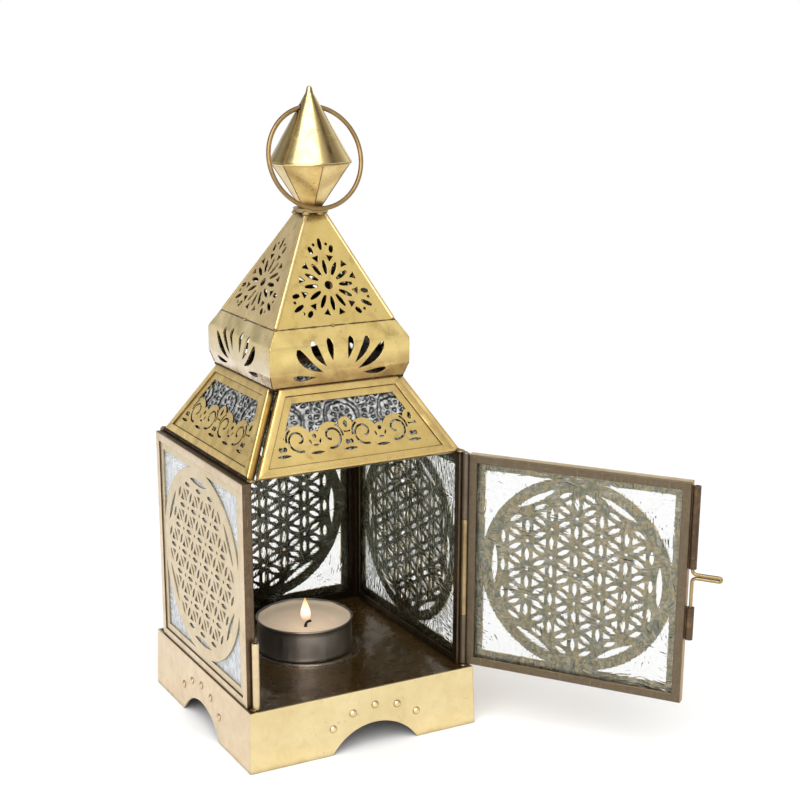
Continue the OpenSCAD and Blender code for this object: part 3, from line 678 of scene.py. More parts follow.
@dataclass(frozen=True)
class GlassFinish:
    """Clear glass whose surface is drawn out in fine curved strokes.

    Where a stroked direction is given, only the face that looks that way bends
    the light, and the far face lets it straight through.
    """

    name: str
    tint: Colour = (0.985, 0.99, 0.985)
    roughness: float = 0.0
    depth: float = 0.00048
    thin: float = 1500
    long: float = 260
    sway: float = 0.012
    haze: float = 0.0
    haze_colour: Colour = (0.80, 0.83, 0.86)
    dark: float = 0.0
    stroked: tuple[float, float, float] | None = None
    glints: float = 0.35
    glint_colour: Colour = (0.80, 0.80, 0.80)

    def make(self) -> Material:
        """Builds the material.

        Returns:
            The glass, with a share of pale haze where one is given.
        """
        s = Sheet(self.name)
        where = s.warped(self.sway, 55)
        thin, long = self.thin, self.long
        upright = s.strokes(where, (thin, thin, long))
        level = s.strokes(where, (long, long, thin))
        either = s.remap(s.cloud(60, 2), 0.46, 0.54, 0, 1)
        height = s.add("ShaderNodeMix", {0: either, 2: upright, 3: level}).outputs[0]
        strength: object = 1.0
        if self.stroked is not None:
            strength = s.facing(self.stroked, 0.3, 0.6)
        normal = s.relief(height, strength, self.depth)
        colour: object = rgba(self.tint)
        hazy: object = rgba(self.haze_colour)
        # Painted dark: the figured glass is blackened along its figure and in cloudy patches,
        # standing for the dark inside seen through it.
        if self.dark > 0:
            figure = s.add("ShaderNodeAttribute", attribute_name="figure").outputs["Fac"]
            middle = s.maths("ABSOLUTE", s.maths("MULTIPLY_ADD", figure, 2.0, -1.0))
            line = s.remap(middle, 0.3, 0.85, 1, 0)
            shade = s.remap(s.cloud(230, 4, distortion=2.5), 0.40, 0.60, 1, 0)
            painted_dark_share = s.maths("MULTIPLY", s.maths("MULTIPLY_ADD", shade, 0.75, line), self.dark)
            colour = s.mix(painted_dark_share, rgba(self.tint), rgba(PAINTED_DARK))
            hazy = s.mix(painted_dark_share, hazy, rgba(PAINTED_DARK))
        face = {"Roughness": self.roughness, "Normal": normal}
        bent = {"Color": colour, "IOR": GLASS_BENDS, **face}
        through = s.add("ShaderNodeBsdfRefraction", bent).outputs[0]
        glint = {"Color": rgba(self.glint_colour), **face}
        shine = s.add("ShaderNodeBsdfGlossy", glint).outputs[0]
        slant = s.add("ShaderNodeFresnel", {"IOR": 1.45}).outputs[0]
        if self.stroked is not None:
            ridge = s.remap(height, 0.52, 0.78, 0, self.glints)
            slant = s.maths("ADD", slant, s.maths("MULTIPLY", ridge, strength))
            plain = s.add("ShaderNodeBsdfTransparent", {"Color": rgba(self.tint)}).outputs[0]
            through = s.blend(strength, plain, through)
        clear = s.blend(slant, through, shine)
        if self.haze == 0:
            return s.finish(clear)
        streak = s.remap(height, 0.42, 0.62, 0.7, 1.25)
        milk = {"Base Color": hazy, "Roughness": 0.25, "Normal": normal}
        pale = s.add("ShaderNodeBsdfPrincipled", milk).outputs[0]
        return s.finish(s.blend(s.maths("MULTIPLY", streak, self.haze), clear, pale))


@dataclass(frozen=True)
class WaxFinish:
    """Soft wax, warm where the flame lights it."""

    name: str
    colour: Colour
    warm: Colour
    centre: tuple[float, float, float]

    def make(self) -> Material:
        """Builds the material.

        Returns:
            The wax.
        """
        s = Sheet(self.name)
        ends = {0: s.where.outputs["Object"], 1: self.centre}
        away = s.add("ShaderNodeVectorMath", ends, operation="DISTANCE").outputs["Value"]
        glow = s.remap(away, 0.004, 0.02, 1, 0)
        cloudy = s.cloud(220, 4)
        colour = s.mix(cloudy, rgba(self.colour), rgba(tuple(c * 0.9 for c in self.colour)))
        colour = s.mix(glow, colour, rgba(self.warm))
        normal = s.relief(s.cloud(300, 3), 0.12, 0.0008)
        return s.surface(
            {
                "Base Color": colour,
                "Roughness": 0.32,
                "Subsurface Weight": 0.25,
                "Subsurface Radius": (0.004, 0.003, 0.002),
                "Emission Color": rgba(self.warm),
                "Emission Strength": s.maths("MULTIPLY", glow, 0.16),
                "Normal": normal,
            }
        )


@dataclass(frozen=True)
class FlameFinish:
    """A candle flame, clear at its foot and orange at its edge."""

    name: str
    foot: float
    tip: float
    strength: float = 1.25
    edge: Colour = (1.0, 0.5, 0.12)
    stops: tuple[tuple[float, Colour], ...] = (
        (0.0, (0.9, 0.35, 0.12)),
        (0.22, (1.0, 0.72, 0.55)),
        (0.5, (1.0, 0.93, 0.82)),
        (0.8, (1.0, 0.80, 0.42)),
        (1.0, (1.0, 0.42, 0.08)),
    )

    def make(self) -> Material:
        """Builds the material.

        Returns:
            The flame.
        """
        s = Sheet(self.name)
        z = s.height(s.where.outputs["Object"])
        up = s.remap(z, self.foot * MM, self.tip * MM, 0, 1)
        aside = s.add("ShaderNodeLayerWeight", {"Blend": 0.45}).outputs["Facing"]
        rim = s.remap(aside, 0.45, 0.95, 0, 0.75)
        colour = s.mix(rim, s.ramp(up, self.stops), rgba(self.edge))
        glow = s.add("ShaderNodeEmission", {"Color": colour, "Strength": self.strength}).outputs[0]
        clear = s.add("ShaderNodeBsdfTransparent").outputs[0]
        thin = s.remap(aside, 0.6, 1.0, 1.0, 0.35)
        cover = s.maths("MULTIPLY", s.remap(up, 0.0, 0.3, 0.2, 1.0), thin)
        return s.finish(s.blend(cover, clear, glow))


@dataclass(frozen=True)
class PlainFinish:
    """A plain surface with a little grain: foil or charred wick."""

    name: str
    colour: Colour
    second: Colour
    metallic: float = 0.0
    roughness: float = 0.5
    grain: float = 400
    stretch: tuple[float, float, float] = (1, 1, 1)
    strength: float = 0.3

    def make(self) -> Material:
        """Builds the material.

        Returns:
            The plain surface.
        """
        s = Sheet(self.name)
        grain = s.cloud(self.grain, 4, self.stretch)
        tone = s.remap(s.cloud(90, 3), 0.35, 0.65, 0, 1)
        smooth, dull = self.roughness - 0.08, self.roughness + 0.12
        return s.surface(
            {
                "Base Color": s.mix(tone, rgba(self.colour), rgba(self.second)),
                "Metallic": self.metallic,
                "Roughness": s.remap(grain, 0.3, 0.7, smooth, dull),
                "Normal": s.relief(grain, self.strength, 0.0006),
            }
        )


INTO_DOOR = (-0.809, -0.588, 0.0)
INWARD = {
    Side.FRONT: (0, 1, 0),
    Side.RIGHT: (-1, 0, 0),
    Side.BACK: (0, -1, 0),
    Side.LEFT: (1, 0, 0),
}


class Paint:
    """Every finish on the lantern, made once."""

    # Brown of the frame faces that don't face out, with painted shade: darkest on the back, which
    # is seen inside the lantern.
    lip_tones_and_shade: dict[Side, Colour] = {
        Side.FRONT: (0.10, 0.07, 0.045),
        Side.RIGHT: (0.095, 0.068, 0.043),
        Side.BACK: (0.032, 0.024, 0.015),
        Side.LEFT: (0.115, 0.080, 0.050),
    }
    warm_glint: Colour = (0.95, 0.97, 0.80)

    def __init__(self) -> None:
        """Builds the materials."""
        self.sides()
        self.fittings()
        self.door_side()
        self.glass: dict[Side, Material] = {
            side: GlassFinish(
                f"glass_{side.label}",
                depth=depth,
                stroked=INWARD[side],
                glints=glints,
                glint_colour=self.warm_glint,
            ).make()
            for side, depth, glints in ((Side.RIGHT, 0.0005, 0.52), (Side.BACK, 0.00046, 0.08))
        }
        self.glass[Side.LEFT] = GlassFinish("glass_left", depth=0.00018, haze=0.5).make()
        self.door_glass = GlassFinish(
            "glass_door", depth=0.00044, stroked=INTO_DOOR, glints=0.14
        ).make()
        self.figured = GlassFinish(
            "figured_glass",
            (0.97, 0.98, 0.97),
            roughness=0.02,
            depth=0.00003,
            haze=0.42,
            haze_colour=(0.88, 0.89, 0.86),
            # Painted dark along the figure, for the dark inside seen through the pressed glass.
            dark=0.95,
        ).make()
        self.foil = PlainFinish(
            "tealight_foil",
            (0.32, 0.29, 0.26),
            (0.25, 0.23, 0.20),
            metallic=1.0,
            roughness=0.36,
            grain=1,
            stretch=(500, 500, 60),
            strength=0.12,
        ).make()
        self.wick = PlainFinish(
            "charred_wick", (0.006, 0.005, 0.005), (0.015, 0.012, 0.01), roughness=0.8, grain=1500
        ).make()

    def sides(self) -> None:
        """Builds the finishes that each side has of its own, the left side's painted for how the
        light falls there.
        """
        self.base: dict[Side, Material] = {}
        self.panel: dict[Side, Material] = {}
        self.grille: dict[Side, Material] = {}
        self.slope: dict[Side, Material] = {}
        self.lace: dict[Side, Material] = {}
        self.collar: dict[Side, Material] = {}
        self.roof: dict[Side, Material] = {}
        for side in Side:
            into = INWARD[side]
            label = side.label
            # The left side gets its own copies of these finishes, painted for how the light falls
            # there: paler and pinker on the plinth, panel and grille, darker on the collar and
            # less yellow on the roof.
            painted_light_left = side is Side.LEFT
            self.base[side] = BrassFinish(
                f"base_{label}_brass",
                (0.74, 0.61, 0.43) if painted_light_left else (0.82, 0.68, 0.39),
                (0.68, 0.54, 0.37) if painted_light_left else (0.73, 0.59, 0.31),
                roughness=0.34,
                grime_and_shade_share=0.7,
                stains=0.12,
                inward=into,
            ).make()
            self.panel[side] = BrassFinish(
                f"panel_{label}_brass",
                (0.74, 0.61, 0.45) if painted_light_left else (0.72, 0.54, 0.24),
                (0.64, 0.51, 0.35) if painted_light_left else (0.60, 0.43, 0.17),
                roughness=0.33,
                stains=0.2,
                inward=into,
                inner=self.lip_tones_and_shade[side],
                inner_second=tuple(1.3 * c for c in self.lip_tones_and_shade[side]),
                inner_edge=(0.35, 0.6),
            ).make()
            self.grille[side] = BrassFinish(
                f"grille_{label}_brass",
                (0.69, 0.58, 0.41) if painted_light_left else (0.70, 0.54, 0.26),
                (0.63, 0.52, 0.34) if painted_light_left else (0.60, 0.44, 0.19),
                roughness=0.36,
                stains=0.15,
                grime_and_shade_reach=0.0012,
                inward=into,
                # Painted shade inside: the right grille's inner face lighter and olive, the others
                # near black.
                inner=(0.058, 0.058, 0.040) if side is Side.RIGHT else (0.020, 0.016, 0.011),
            ).make()
            self.slope[side] = BrassFinish(
                f"slope_{label}_brass",
                (0.80, 0.60, 0.24),
                (0.64, 0.45, 0.16),
                roughness=0.28,
                heat_and_shade_share=0.5,
                heat_and_shade_reach=0.006,
                patina=0.4,
                inward=into,
                inner=(0.10, 0.07, 0.045),
                inner_edge=(-0.35, -0.2),
            ).make()
            self.lace[side] = BrassFinish(
                f"lace_{label}_brass",
                (0.74, 0.56, 0.22),
                (0.62, 0.44, 0.15),
                roughness=0.34,
                grime_and_shade_reach=0.0018,
                patina=0.35,
                inward=into,
                inner=(0.020, 0.015, 0.010),
            ).make()
            self.collar[side] = BrassFinish(
                f"collar_{label}_brass",
                (0.70, 0.57, 0.31) if painted_light_left else (0.82, 0.64, 0.26),
                (0.58, 0.45, 0.20) if painted_light_left else (0.74, 0.55, 0.20),
                roughness=0.2,
                dents=1.5,
                heat_and_shade_share=0.0 if painted_light_left else 0.6,
                # Foot band: pale painted highlight on the left collar, brown stain and painted
                # shade on the others.
                foot_band_stain_and_light=(139.0, 150.0, 0.9) if painted_light_left else (139.0, 147.0, 1.0),
                patina=0.0 if painted_light_left else 0.25,
                stains=0.1 if painted_light_left else 0.4,
                heat=(0.80, 0.70, 0.58) if painted_light_left else (0.38, 0.24, 0.09),
                inward=into,
                inner=(0.015, 0.011, 0.008),
            ).make()
            self.roof[side] = BrassFinish(
                f"roof_{label}_brass",
                (0.76, 0.60, 0.31) if painted_light_left else (0.77, 0.595, 0.225),
                (0.66, 0.49, 0.23) if painted_light_left else (0.67, 0.49, 0.168),
                roughness=0.27,
                dents=0.8,
                heat_and_shade_share=0.6,
                inward=into,
                inner=(0.015, 0.011, 0.008),
            ).make()

    def fittings(self) -> None:
        """Builds the finishes of the finial, the hinge, the latch and the floor."""
        self.cone = BrassFinish(
            "cone_brass",
            (0.82, 0.66, 0.33),
            (0.74, 0.56, 0.23),
            roughness=0.2,
            dents=0.4,
            scratches=0.7,
            heat=(0.20, 0.13, 0.05),
            # Painted dark reflections down the cone's right and left.
            painted_dark_streaks=((13.0, 26.0, 0.85), (-100.0, 34.0, 0.75)),
        ).make()
        self.cup = BrassFinish(
            "cup_brass", (0.82, 0.64, 0.30), (0.68, 0.49, 0.19), roughness=0.3, heat_and_shade_share=0.7
        ).make()
        self.neck = BrassFinish(
            "neck_brass", (0.45, 0.34, 0.165), (0.22, 0.15, 0.07), roughness=0.34, dents=1.5
        ).make()
        self.ring = BrassFinish(
            "ring_brass", (0.33, 0.225, 0.105), (0.22, 0.14, 0.06), roughness=0.33, stains=0.6
        ).make()
        self.ridge = BrassFinish(
            "ridge_brass",
            (0.80, 0.62, 0.32),
            (0.74, 0.56, 0.26),
            roughness=0.36,
            scratches=0.0,
            dents=0.05,
        ).make()
        self.bright = BrassFinish(
            "bright_brass", (0.82, 0.68, 0.46), (0.66, 0.52, 0.32), roughness=0.3
        ).make()
        self.knuckle = BrassFinish(
            "knuckle_brass", (0.44, 0.33, 0.17), (0.22, 0.155, 0.08), roughness=0.38, stains=0.8
        ).make()
        self.bolt = BrassFinish(
            "bolt_brass", (0.43, 0.32, 0.16), (0.29, 0.21, 0.10), roughness=0.26
        ).make()
        self.tube = BrassFinish(
            "tube_brass", (0.13, 0.084, 0.050), (0.070, 0.045, 0.028), roughness=0.26, metallic=0.9
        ).make()
        self.floor = BrassFinish(
            "floor_brass",
            (0.112, 0.058, 0.012),
            (0.056, 0.030, 0.007),
            roughness=0.22,
            metallic=0.6,
            dents=0.7,
            grime_and_shade_reach=0.008,
            stains=0.0,
            coat=0.4,
        ).make()
        self.seat = BrassFinish(
            "seat_brass", (0.55, 0.50, 0.42), (0.30, 0.25, 0.19), roughness=0.2, grime_and_shade_share=0.4
        ).make()
        self.solder = BrassFinish(
            "solder", (0.56, 0.43, 0.23), (0.28, 0.19, 0.09), roughness=0.36, dents=1.5, stains=0.8
        ).make()
        # Seams near black: painted shade of the gaps they close.
        self.seam = BrassFinish(
            "seam_solder_shade", (0.060, 0.042, 0.026), (0.03, 0.021, 0.013), roughness=0.5, dents=1.5
        ).make()
        self.joint = BrassFinish(
            "joint_solder_and_shade", (0.20, 0.13, 0.065), (0.11, 0.07, 0.035), roughness=0.42, dents=1.5
        ).make()

    def door_side(self) -> None:
        """Builds the door's finishes, gold outside and brown inside."""
        gold, second = (0.78, 0.62, 0.40), (0.66, 0.50, 0.29)
        self.taupe = BrassFinish(
            "brown_brass", (0.16, 0.125, 0.09), (0.12, 0.088, 0.06), roughness=0.4, metallic=0.75
        ).make()
        self.door = BrassFinish(
            "door_brass",
            gold,
            second,
            roughness=0.36,
            stains=0.25,
            inward=INTO_DOOR,
            inner=(0.150, 0.114, 0.074),
            inner_second=(0.172, 0.132, 0.088),
            inner_edge=(-0.6, -0.35),
            # Painted shade on the door faces that look toward this azimuth.
            painted_dark_streaks=((36, 34, 0.92),),
            slant=1.0,
        ).make()
        self.door_grille = BrassFinish(
            "door_grille_brass",
            gold,
            second,
            roughness=0.38,
            stains=0.3,
            grime_and_shade_reach=0.0012,
            inward=INTO_DOOR,
            inner=(0.158, 0.162, 0.112),
            inner_second=(0.35, 0.275, 0.135),
        ).make()


@dataclass
class FoldedFrame:
    """A folded channel round a pane, in four mitred lengths."""

    outline: list[Point2]
    depth: float
    lip: float
    wall: float = 0.6
    fold: float = 0.55
    mitre: float = 0.035
    wobble: float = 0.03

    def profile(self) -> list[Point2]:
        """Draws the channel's section.

        Returns:
            Its points, as distances in from the outline and heights.
        """
        r, t, w, lip = self.fold, self.depth, self.wall, self.lip
        nib = 0.12
        return (
            [(lip, -nib), (lip - nib, 0)]
            + arc((r, -r), r, 90, 180)
            + arc((r, r - t), r, 180, 270)
            + [(lip - nib, -t), (lip, nib - t), (lip, w - t), (w + nib, w - t), (w, w + nib - t)]
            + [(w, -w - nib), (w + nib, -w), (lip, -w)]
        )

    def inset(self, distance: float) -> list[Vector]:
        """Sets the outline's corners in.

        Args:
            distance: How far its sides move in.

        Returns:
            The new corners.
        """
        corners = [Vector(p) for p in self.outline]
        moved = []
        for k, corner in enumerate(corners):
            along = (corners[(k + 1) % len(corners)] - corner).normalized()
            back = (corners[k - 1] - corner).normalized()
            spread = distance / math.tan(along.angle(back) / 2)
            moved.append(corner + along * spread + Vector((-along.y, along.x)) * distance)
        return moved

    def crevice(self, radius: float = 0.2) -> Solid:
        """Builds a dark line of painted shade along the inside of each front lip.

        Args:
            radius: Its radius.

        Returns:
            The solid in the panel's own x, y and outward z.
        """
        solid = Solid()
        corners = [Vector((p.x, p.y, -self.wall - 0.04)) for p in self.inset(self.lip + 0.06)]
        for k, (start, end) in enumerate(zip(corners, corners[1:] + corners[:1])):
            steps = max(6, round((end - start).length / 2))
            solid.join(
                strand(
                    start,
                    end,
                    steps,
                    lambda i: radius * (1 + 0.5 * ripple(0.6 * i, 3.7 * k, 1)),
                    sides=8,
                )
            )
        return solid

    def build(self, seed: float = 0) -> Solid:
        """Builds the four lengths.

        Args:
            seed: Where the slight waver of the folds starts.

        Returns:
            The solid in the panel's own x, y and outward z.
        """
        solid = Solid()
        section = self.profile()
        n = len(section)
        steps = 14
        corners = [Vector(p) for p in self.outline]
        for k, start in enumerate(corners):
            end, after = (corners[(k + ahead) % len(corners)] for ahead in (1, 2))
            before = corners[k - 1]
            along = (end - start).normalized()
            inward = Vector((-along.y, along.x))
            first = 1 / math.tan(along.angle(before - start) / 2)
            last = 1 / math.tan((-along).angle(after - end) / 2)
            base = len(solid.points)
            for i in range(steps + 1):
                share = i / steps
                for d, z in section:
                    a = start + along * (d * first + self.mitre)
                    b = end - along * (d * last + self.mitre)
                    p = a.lerp(b, share) + inward * d
                    fade = min(1.0, 6 * share, 6 * (1 - share))
                    drop = self.wobble * fade * ripple(p.x / 9, p.y / 9, seed + z / 3)
                    sunk = drop if z < -0.1 else abs(drop)
                    moved = p + inward * abs(drop)
                    solid.points.append(Vector((moved.x, moved.y, z - sunk)))
            rows = [tuple(range(base + i * n, base + (i + 1) * n)) for i in range(steps + 1)]
            for low, high in zip(rows, rows[1:]):
                solid.bridge(low, high)
            solid.faces += [rows[0], rows[-1]]
        return solid


@dataclass
class Pane:
    """A pane of glass whose two faces follow a relief."""

    half_low: float
    half_high: float
    low: float
    high: float
    outer: float
    inner: float
    step: float
    relief: Callable[[float, float, float], float]
    figure: Callable[[float, float, float], float] | None = None

    def build(self, seed: float) -> Solid:
        """Builds the closed pane.

        Args:
            seed: Where the relief's noise starts.

        Returns:
            The solid in the panel's own x, y and outward z.
        """
        across = max(8, round(2 * max(self.half_low, self.half_high) / self.step))
        up = max(8, round((self.high - self.low) / self.step))
        solid = Solid()
        for face in (0, 1):
            for j in range(up + 1):
                y = self.low + (self.high - self.low) * j / up
                half = self.half_low + (self.half_high - self.half_low) * j / up
                for i in range(across + 1):
                    x = half * (2 * i / across - 1)
                    h = self.relief(x, y, seed if self.figure else seed + 7 * face)
                    z = self.inner + h if face else self.outer - h
                    solid.points.append(Vector((x, y, z)))
                    if self.figure is not None:
                        solid.figure.append(self.figure(x, y, seed))
        row = across + 1
        layer = row * (up + 1)
        for j in range(up):
            for i in range(across):
                a = j * row + i
                near = (a, a + 1, a + row + 1, a + row)
                solid.faces += [near, tuple(layer + v for v in (a, a + row, a + row + 1, a + 1))]
        rim = (
            [j * row for j in range(up + 1)][::-1]
            + [i for i in range(1, across + 1)]
            + [j * row + across for j in range(1, up + 1)]
            + [up * row + i for i in range(across - 1, 0, -1)]
        )
        solid.bridge(rim, [a + layer for a in rim])
        return solid


def drawn_relief(x: float, y: float, seed: float) -> float:
    """Finds the depth of drawn glass at a point, with curved strokes.

    Args:
        x: Place along the panel.
        y: Place up the panel.
        seed: Where the noise starts.

    Returns:
        The depth below the pane's even face.
    """
    bend = ripple(x / 14, y / 14, seed)
    lift = ripple(x / 11 + 2.3 * bend, y / 15 - 1.7 * bend, seed + 3)
    stroke = ripple(x / 2.6 + 4 * lift, y / 3.4 + 5 * bend, seed + 9)
    return 0.10 * (0.5 + 0.5 * lift) + 0.14 * (0.5 + 0.5 * stroke)


def rosette_figure(x: float, y: float, seed: float) -> float:
    """Finds the figure pressed into glass at a point, with beaded rosettes.

    Args:
        x: Place along the panel.
        y: Place up the panel.
        seed: Where the noise starts.

    Returns:
        The figure's share of its full depth.
    """
    pitch, ring, bead = 22.0, 3.2, 2.3
    shift, middle = -2.0, 19.0
    x += 0.9 * ripple(x / 2.8, y / 2.8, seed + 11)
    y += 0.9 * ripple(x / 2.8, y / 2.8, seed + 13)
    dx, dy = x - shift - pitch * round((x - shift) / pitch), y - middle
    r = math.hypot(dx, dy)
    groove = 0.5 + 0.5 * math.cos(r * 2 * math.pi / ring)
    row = round(r / ring)
    if row == 0:
        return groove
    if r < 3.5 * ring:
        count = round(2 * math.pi * row * ring / bead)
        beads = 0.5 + 0.5 * math.cos(math.atan2(dy, dx) * count + row)
        return groove * (0.9 if row == 2 else beads)
    sway = ripple(x / 8, y / 8, seed + 2)
    leaf = ripple(x / 4.2 + 2 * sway, y / 5.0 - 3 * sway, seed + 5)
    return 0.5 + 0.5 * math.cos(11 * leaf)


def rosette_relief(x: float, y: float, seed: float) -> float:
    """Returns the depth of the pressed glass below the pane's even face."""
    uneven = 1 + ripple(x / 4, y / 4, seed)
    return 0.50 * rosette_figure(x, y, seed) + 0.04 * uneven


def dress(node: str, material: Material) -> None:
    """Puts a finish on one of the frame's own nodes.

    Args:
        node: The node's name.
        material: The finish it wears.
    """
    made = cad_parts[node]
    if not made.material_slots:
        made.data.materials.append(material)
    for slot in made.material_slots:
        slot.material = material
    LOG.info("%s wears %s", node, material.name)


@dataclass
class GlazedPanel:
    """A folded frame with its line of painted shade, its pane and its pierced sheet."""

    name: str
    body: Body
    place: Matrix
    folded: FoldedFrame
    pane: Pane
    metal_slot: str
    glass_slot: str

    def build(
        self,
        seeds: tuple[int, int],
        metal: Material,
        glass: Material,
        grille: Material,
        crevice_shade_finish: Material,
    ) -> None:
        """Builds the frame, its line of painted shade and the pane, and dresses the sheet.

        Args:
            seeds: Where the frame's waver and the pane's noise start.
            metal: The frame's finish.
            glass: The pane's finish.
            grille: The pierced sheet's finish.
            crevice_shade_finish: The finish of the dark line of painted shade.
        """
        name, place = self.name, self.place
        self.folded.build(seeds[0]).moved(place).piece(
            f"{name}_folded_frame", self.body, metal, self.metal_slot, [f"{name}_frame"]
        )
        # Dark line of painted shade where each lip meets the plate.
        self.folded.crevice().moved(place).piece(f"{name}_old_polish", self.body, crevice_shade_finish, "brass")
        self.pane.build(seeds[1]).moved(place).piece(
            f"{name}_pane",
            self.body,
            glass,
            self.glass_slot,
            [f"{name}_glass"],
            sharp=80,
            shadow=False,
        )
        dress(f"{name}_grille", grille)


@dataclass
class Panels:
    """The glazed body panels and the door."""

    paint: Paint
    width: float = 84.4
    height: float = 84.8
    depth: float = 4.0
    lip: float = 3.2
    play: float = 0.7
    inner_half: float = 42.2
    foot: float = 23.4
    door_width: float = 84.2
    door_height: float = 83.8
    door_edge: float = 42.95
    door_foot: float = 24.4
    door_face: float = 46.6
    hinge: Point2 = (44.3, -43.55)
    door_angle: float = 126.0

    def place(self, side: Side) -> Matrix:
        """Returns the frame of a body panel."""
        outer = self.inner_half + self.depth
        return side_matrix(side, outer, outer, self.foot, 1)

    def door_place(self) -> Matrix:
        """Finds the frame of the open door.

        Returns:
            The matrix from the door's x, y and outward z to the lantern.
        """
        axis = Vector((*self.hinge, 0))
        swing = Matrix.Rotation(math.radians(self.door_angle), 4, "Z")
        opened = Matrix.Translation(axis) @ swing @ Matrix.Translation(-axis)
        centre = self.door_edge - self.door_width / 2
        foot = Matrix.Translation((centre, -self.door_face, self.door_foot))
        return opened @ foot @ Matrix.Rotation(math.radians(90), 4, "X")

    def panel(self, name: str, body: Body, place: Matrix, size: Point2) -> GlazedPanel:
        """Lays out one rectangular panel.

        Args:
            name: Its name in the frame.
            body: The body that carries it.
            place: Its frame.
            size: Its width and height.

        Returns:
            The panel.
        """
        width, height = size
        half, play = width / 2, self.play
        outline = [(-half, 0.0), (half, 0.0), (half, height), (-half, height)]
        pane = Pane(
            half_low=half - play,
            half_high=half - play,
            low=play,
            high=height - play,
            outer=-1.22,
            inner=-3.18,
            step=0.75,
            relief=drawn_relief,
        )
        folded = FoldedFrame(outline, self.depth, self.lip)
        return GlazedPanel(name, body, place, folded, pane, "brown_brass", "wavy_glass")

    def build(self) -> None:
        """Builds and dresses the three fixed panels and the door."""
        paint = self.paint
        size = (self.width, self.height)
        for side in (Side.LEFT, Side.BACK, Side.RIGHT):
            self.panel(side.label, Body.LANTERN, self.place(side), size).build(
                (side.value, 10 + side.value),
                paint.panel[side],
                paint.glass[side],
                paint.grille[side],
                paint.joint,
            )
        size = (self.door_width, self.door_height)
        self.panel("door", Body.DOOR, self.door_place(), size).build(
            (5, 31), paint.door, paint.door_glass, paint.door_grille, paint.joint
        )


@dataclass
class Shoulder:
    """The four leaning glazed panels over the body."""

    paint: Paint
    foot: float = 43.2
    top: float = 27.1
    z: float = 109.6
    height: float = 27.2
    depth: float = 3.4
    lip: float = 3.0
    fold: float = 0.8
    play: float = 0.7

    def half(self, y: float, inset: float) -> float:
        """Finds the half width of a panel.

        Args:
            y: Height up the panel.
            inset: How far inside its edge.

        Returns:
            The half width there.
        """
        run = self.foot - self.top
        length = math.hypot(run, self.height)
        taper = run / length
        seat = self.depth * self.height / length + 0.05
        return self.foot - seat - taper * y - math.hypot(1, taper) * inset

    def build(self) -> None:
        """Builds and dresses the four panels."""
        length = math.hypot(self.foot - self.top, self.height)
        low, high = self.half(0, 0), self.half(length, 0)
        outline = [(-low, 0.0), (low, 0.0), (high, length), (-high, length)]
        folded = FoldedFrame(outline, self.depth, self.lip, fold=self.fold)
        play = self.play
        pane = Pane(
            half_low=self.half(play, play),
            half_high=self.half(length - play, play),
            low=play,
            high=length - play,
            outer=-1.22,
            inner=-2.68,
            step=0.36,
            relief=rosette_relief,
            figure=rosette_figure,
        )
        for side in Side:
            name = f"shoulder_{side.label}"
            place = side_matrix(side, self.foot, self.top, self.z, self.height)
            panel = GlazedPanel(name, Body.LANTERN, place, folded, pane, "brass", "figured_glass")
            panel.build(
                (20 + side.value, 40 + side.value),
                self.paint.slope[side],
                self.paint.figured,
                self.paint.lace[side],
                self.paint.joint,
            )


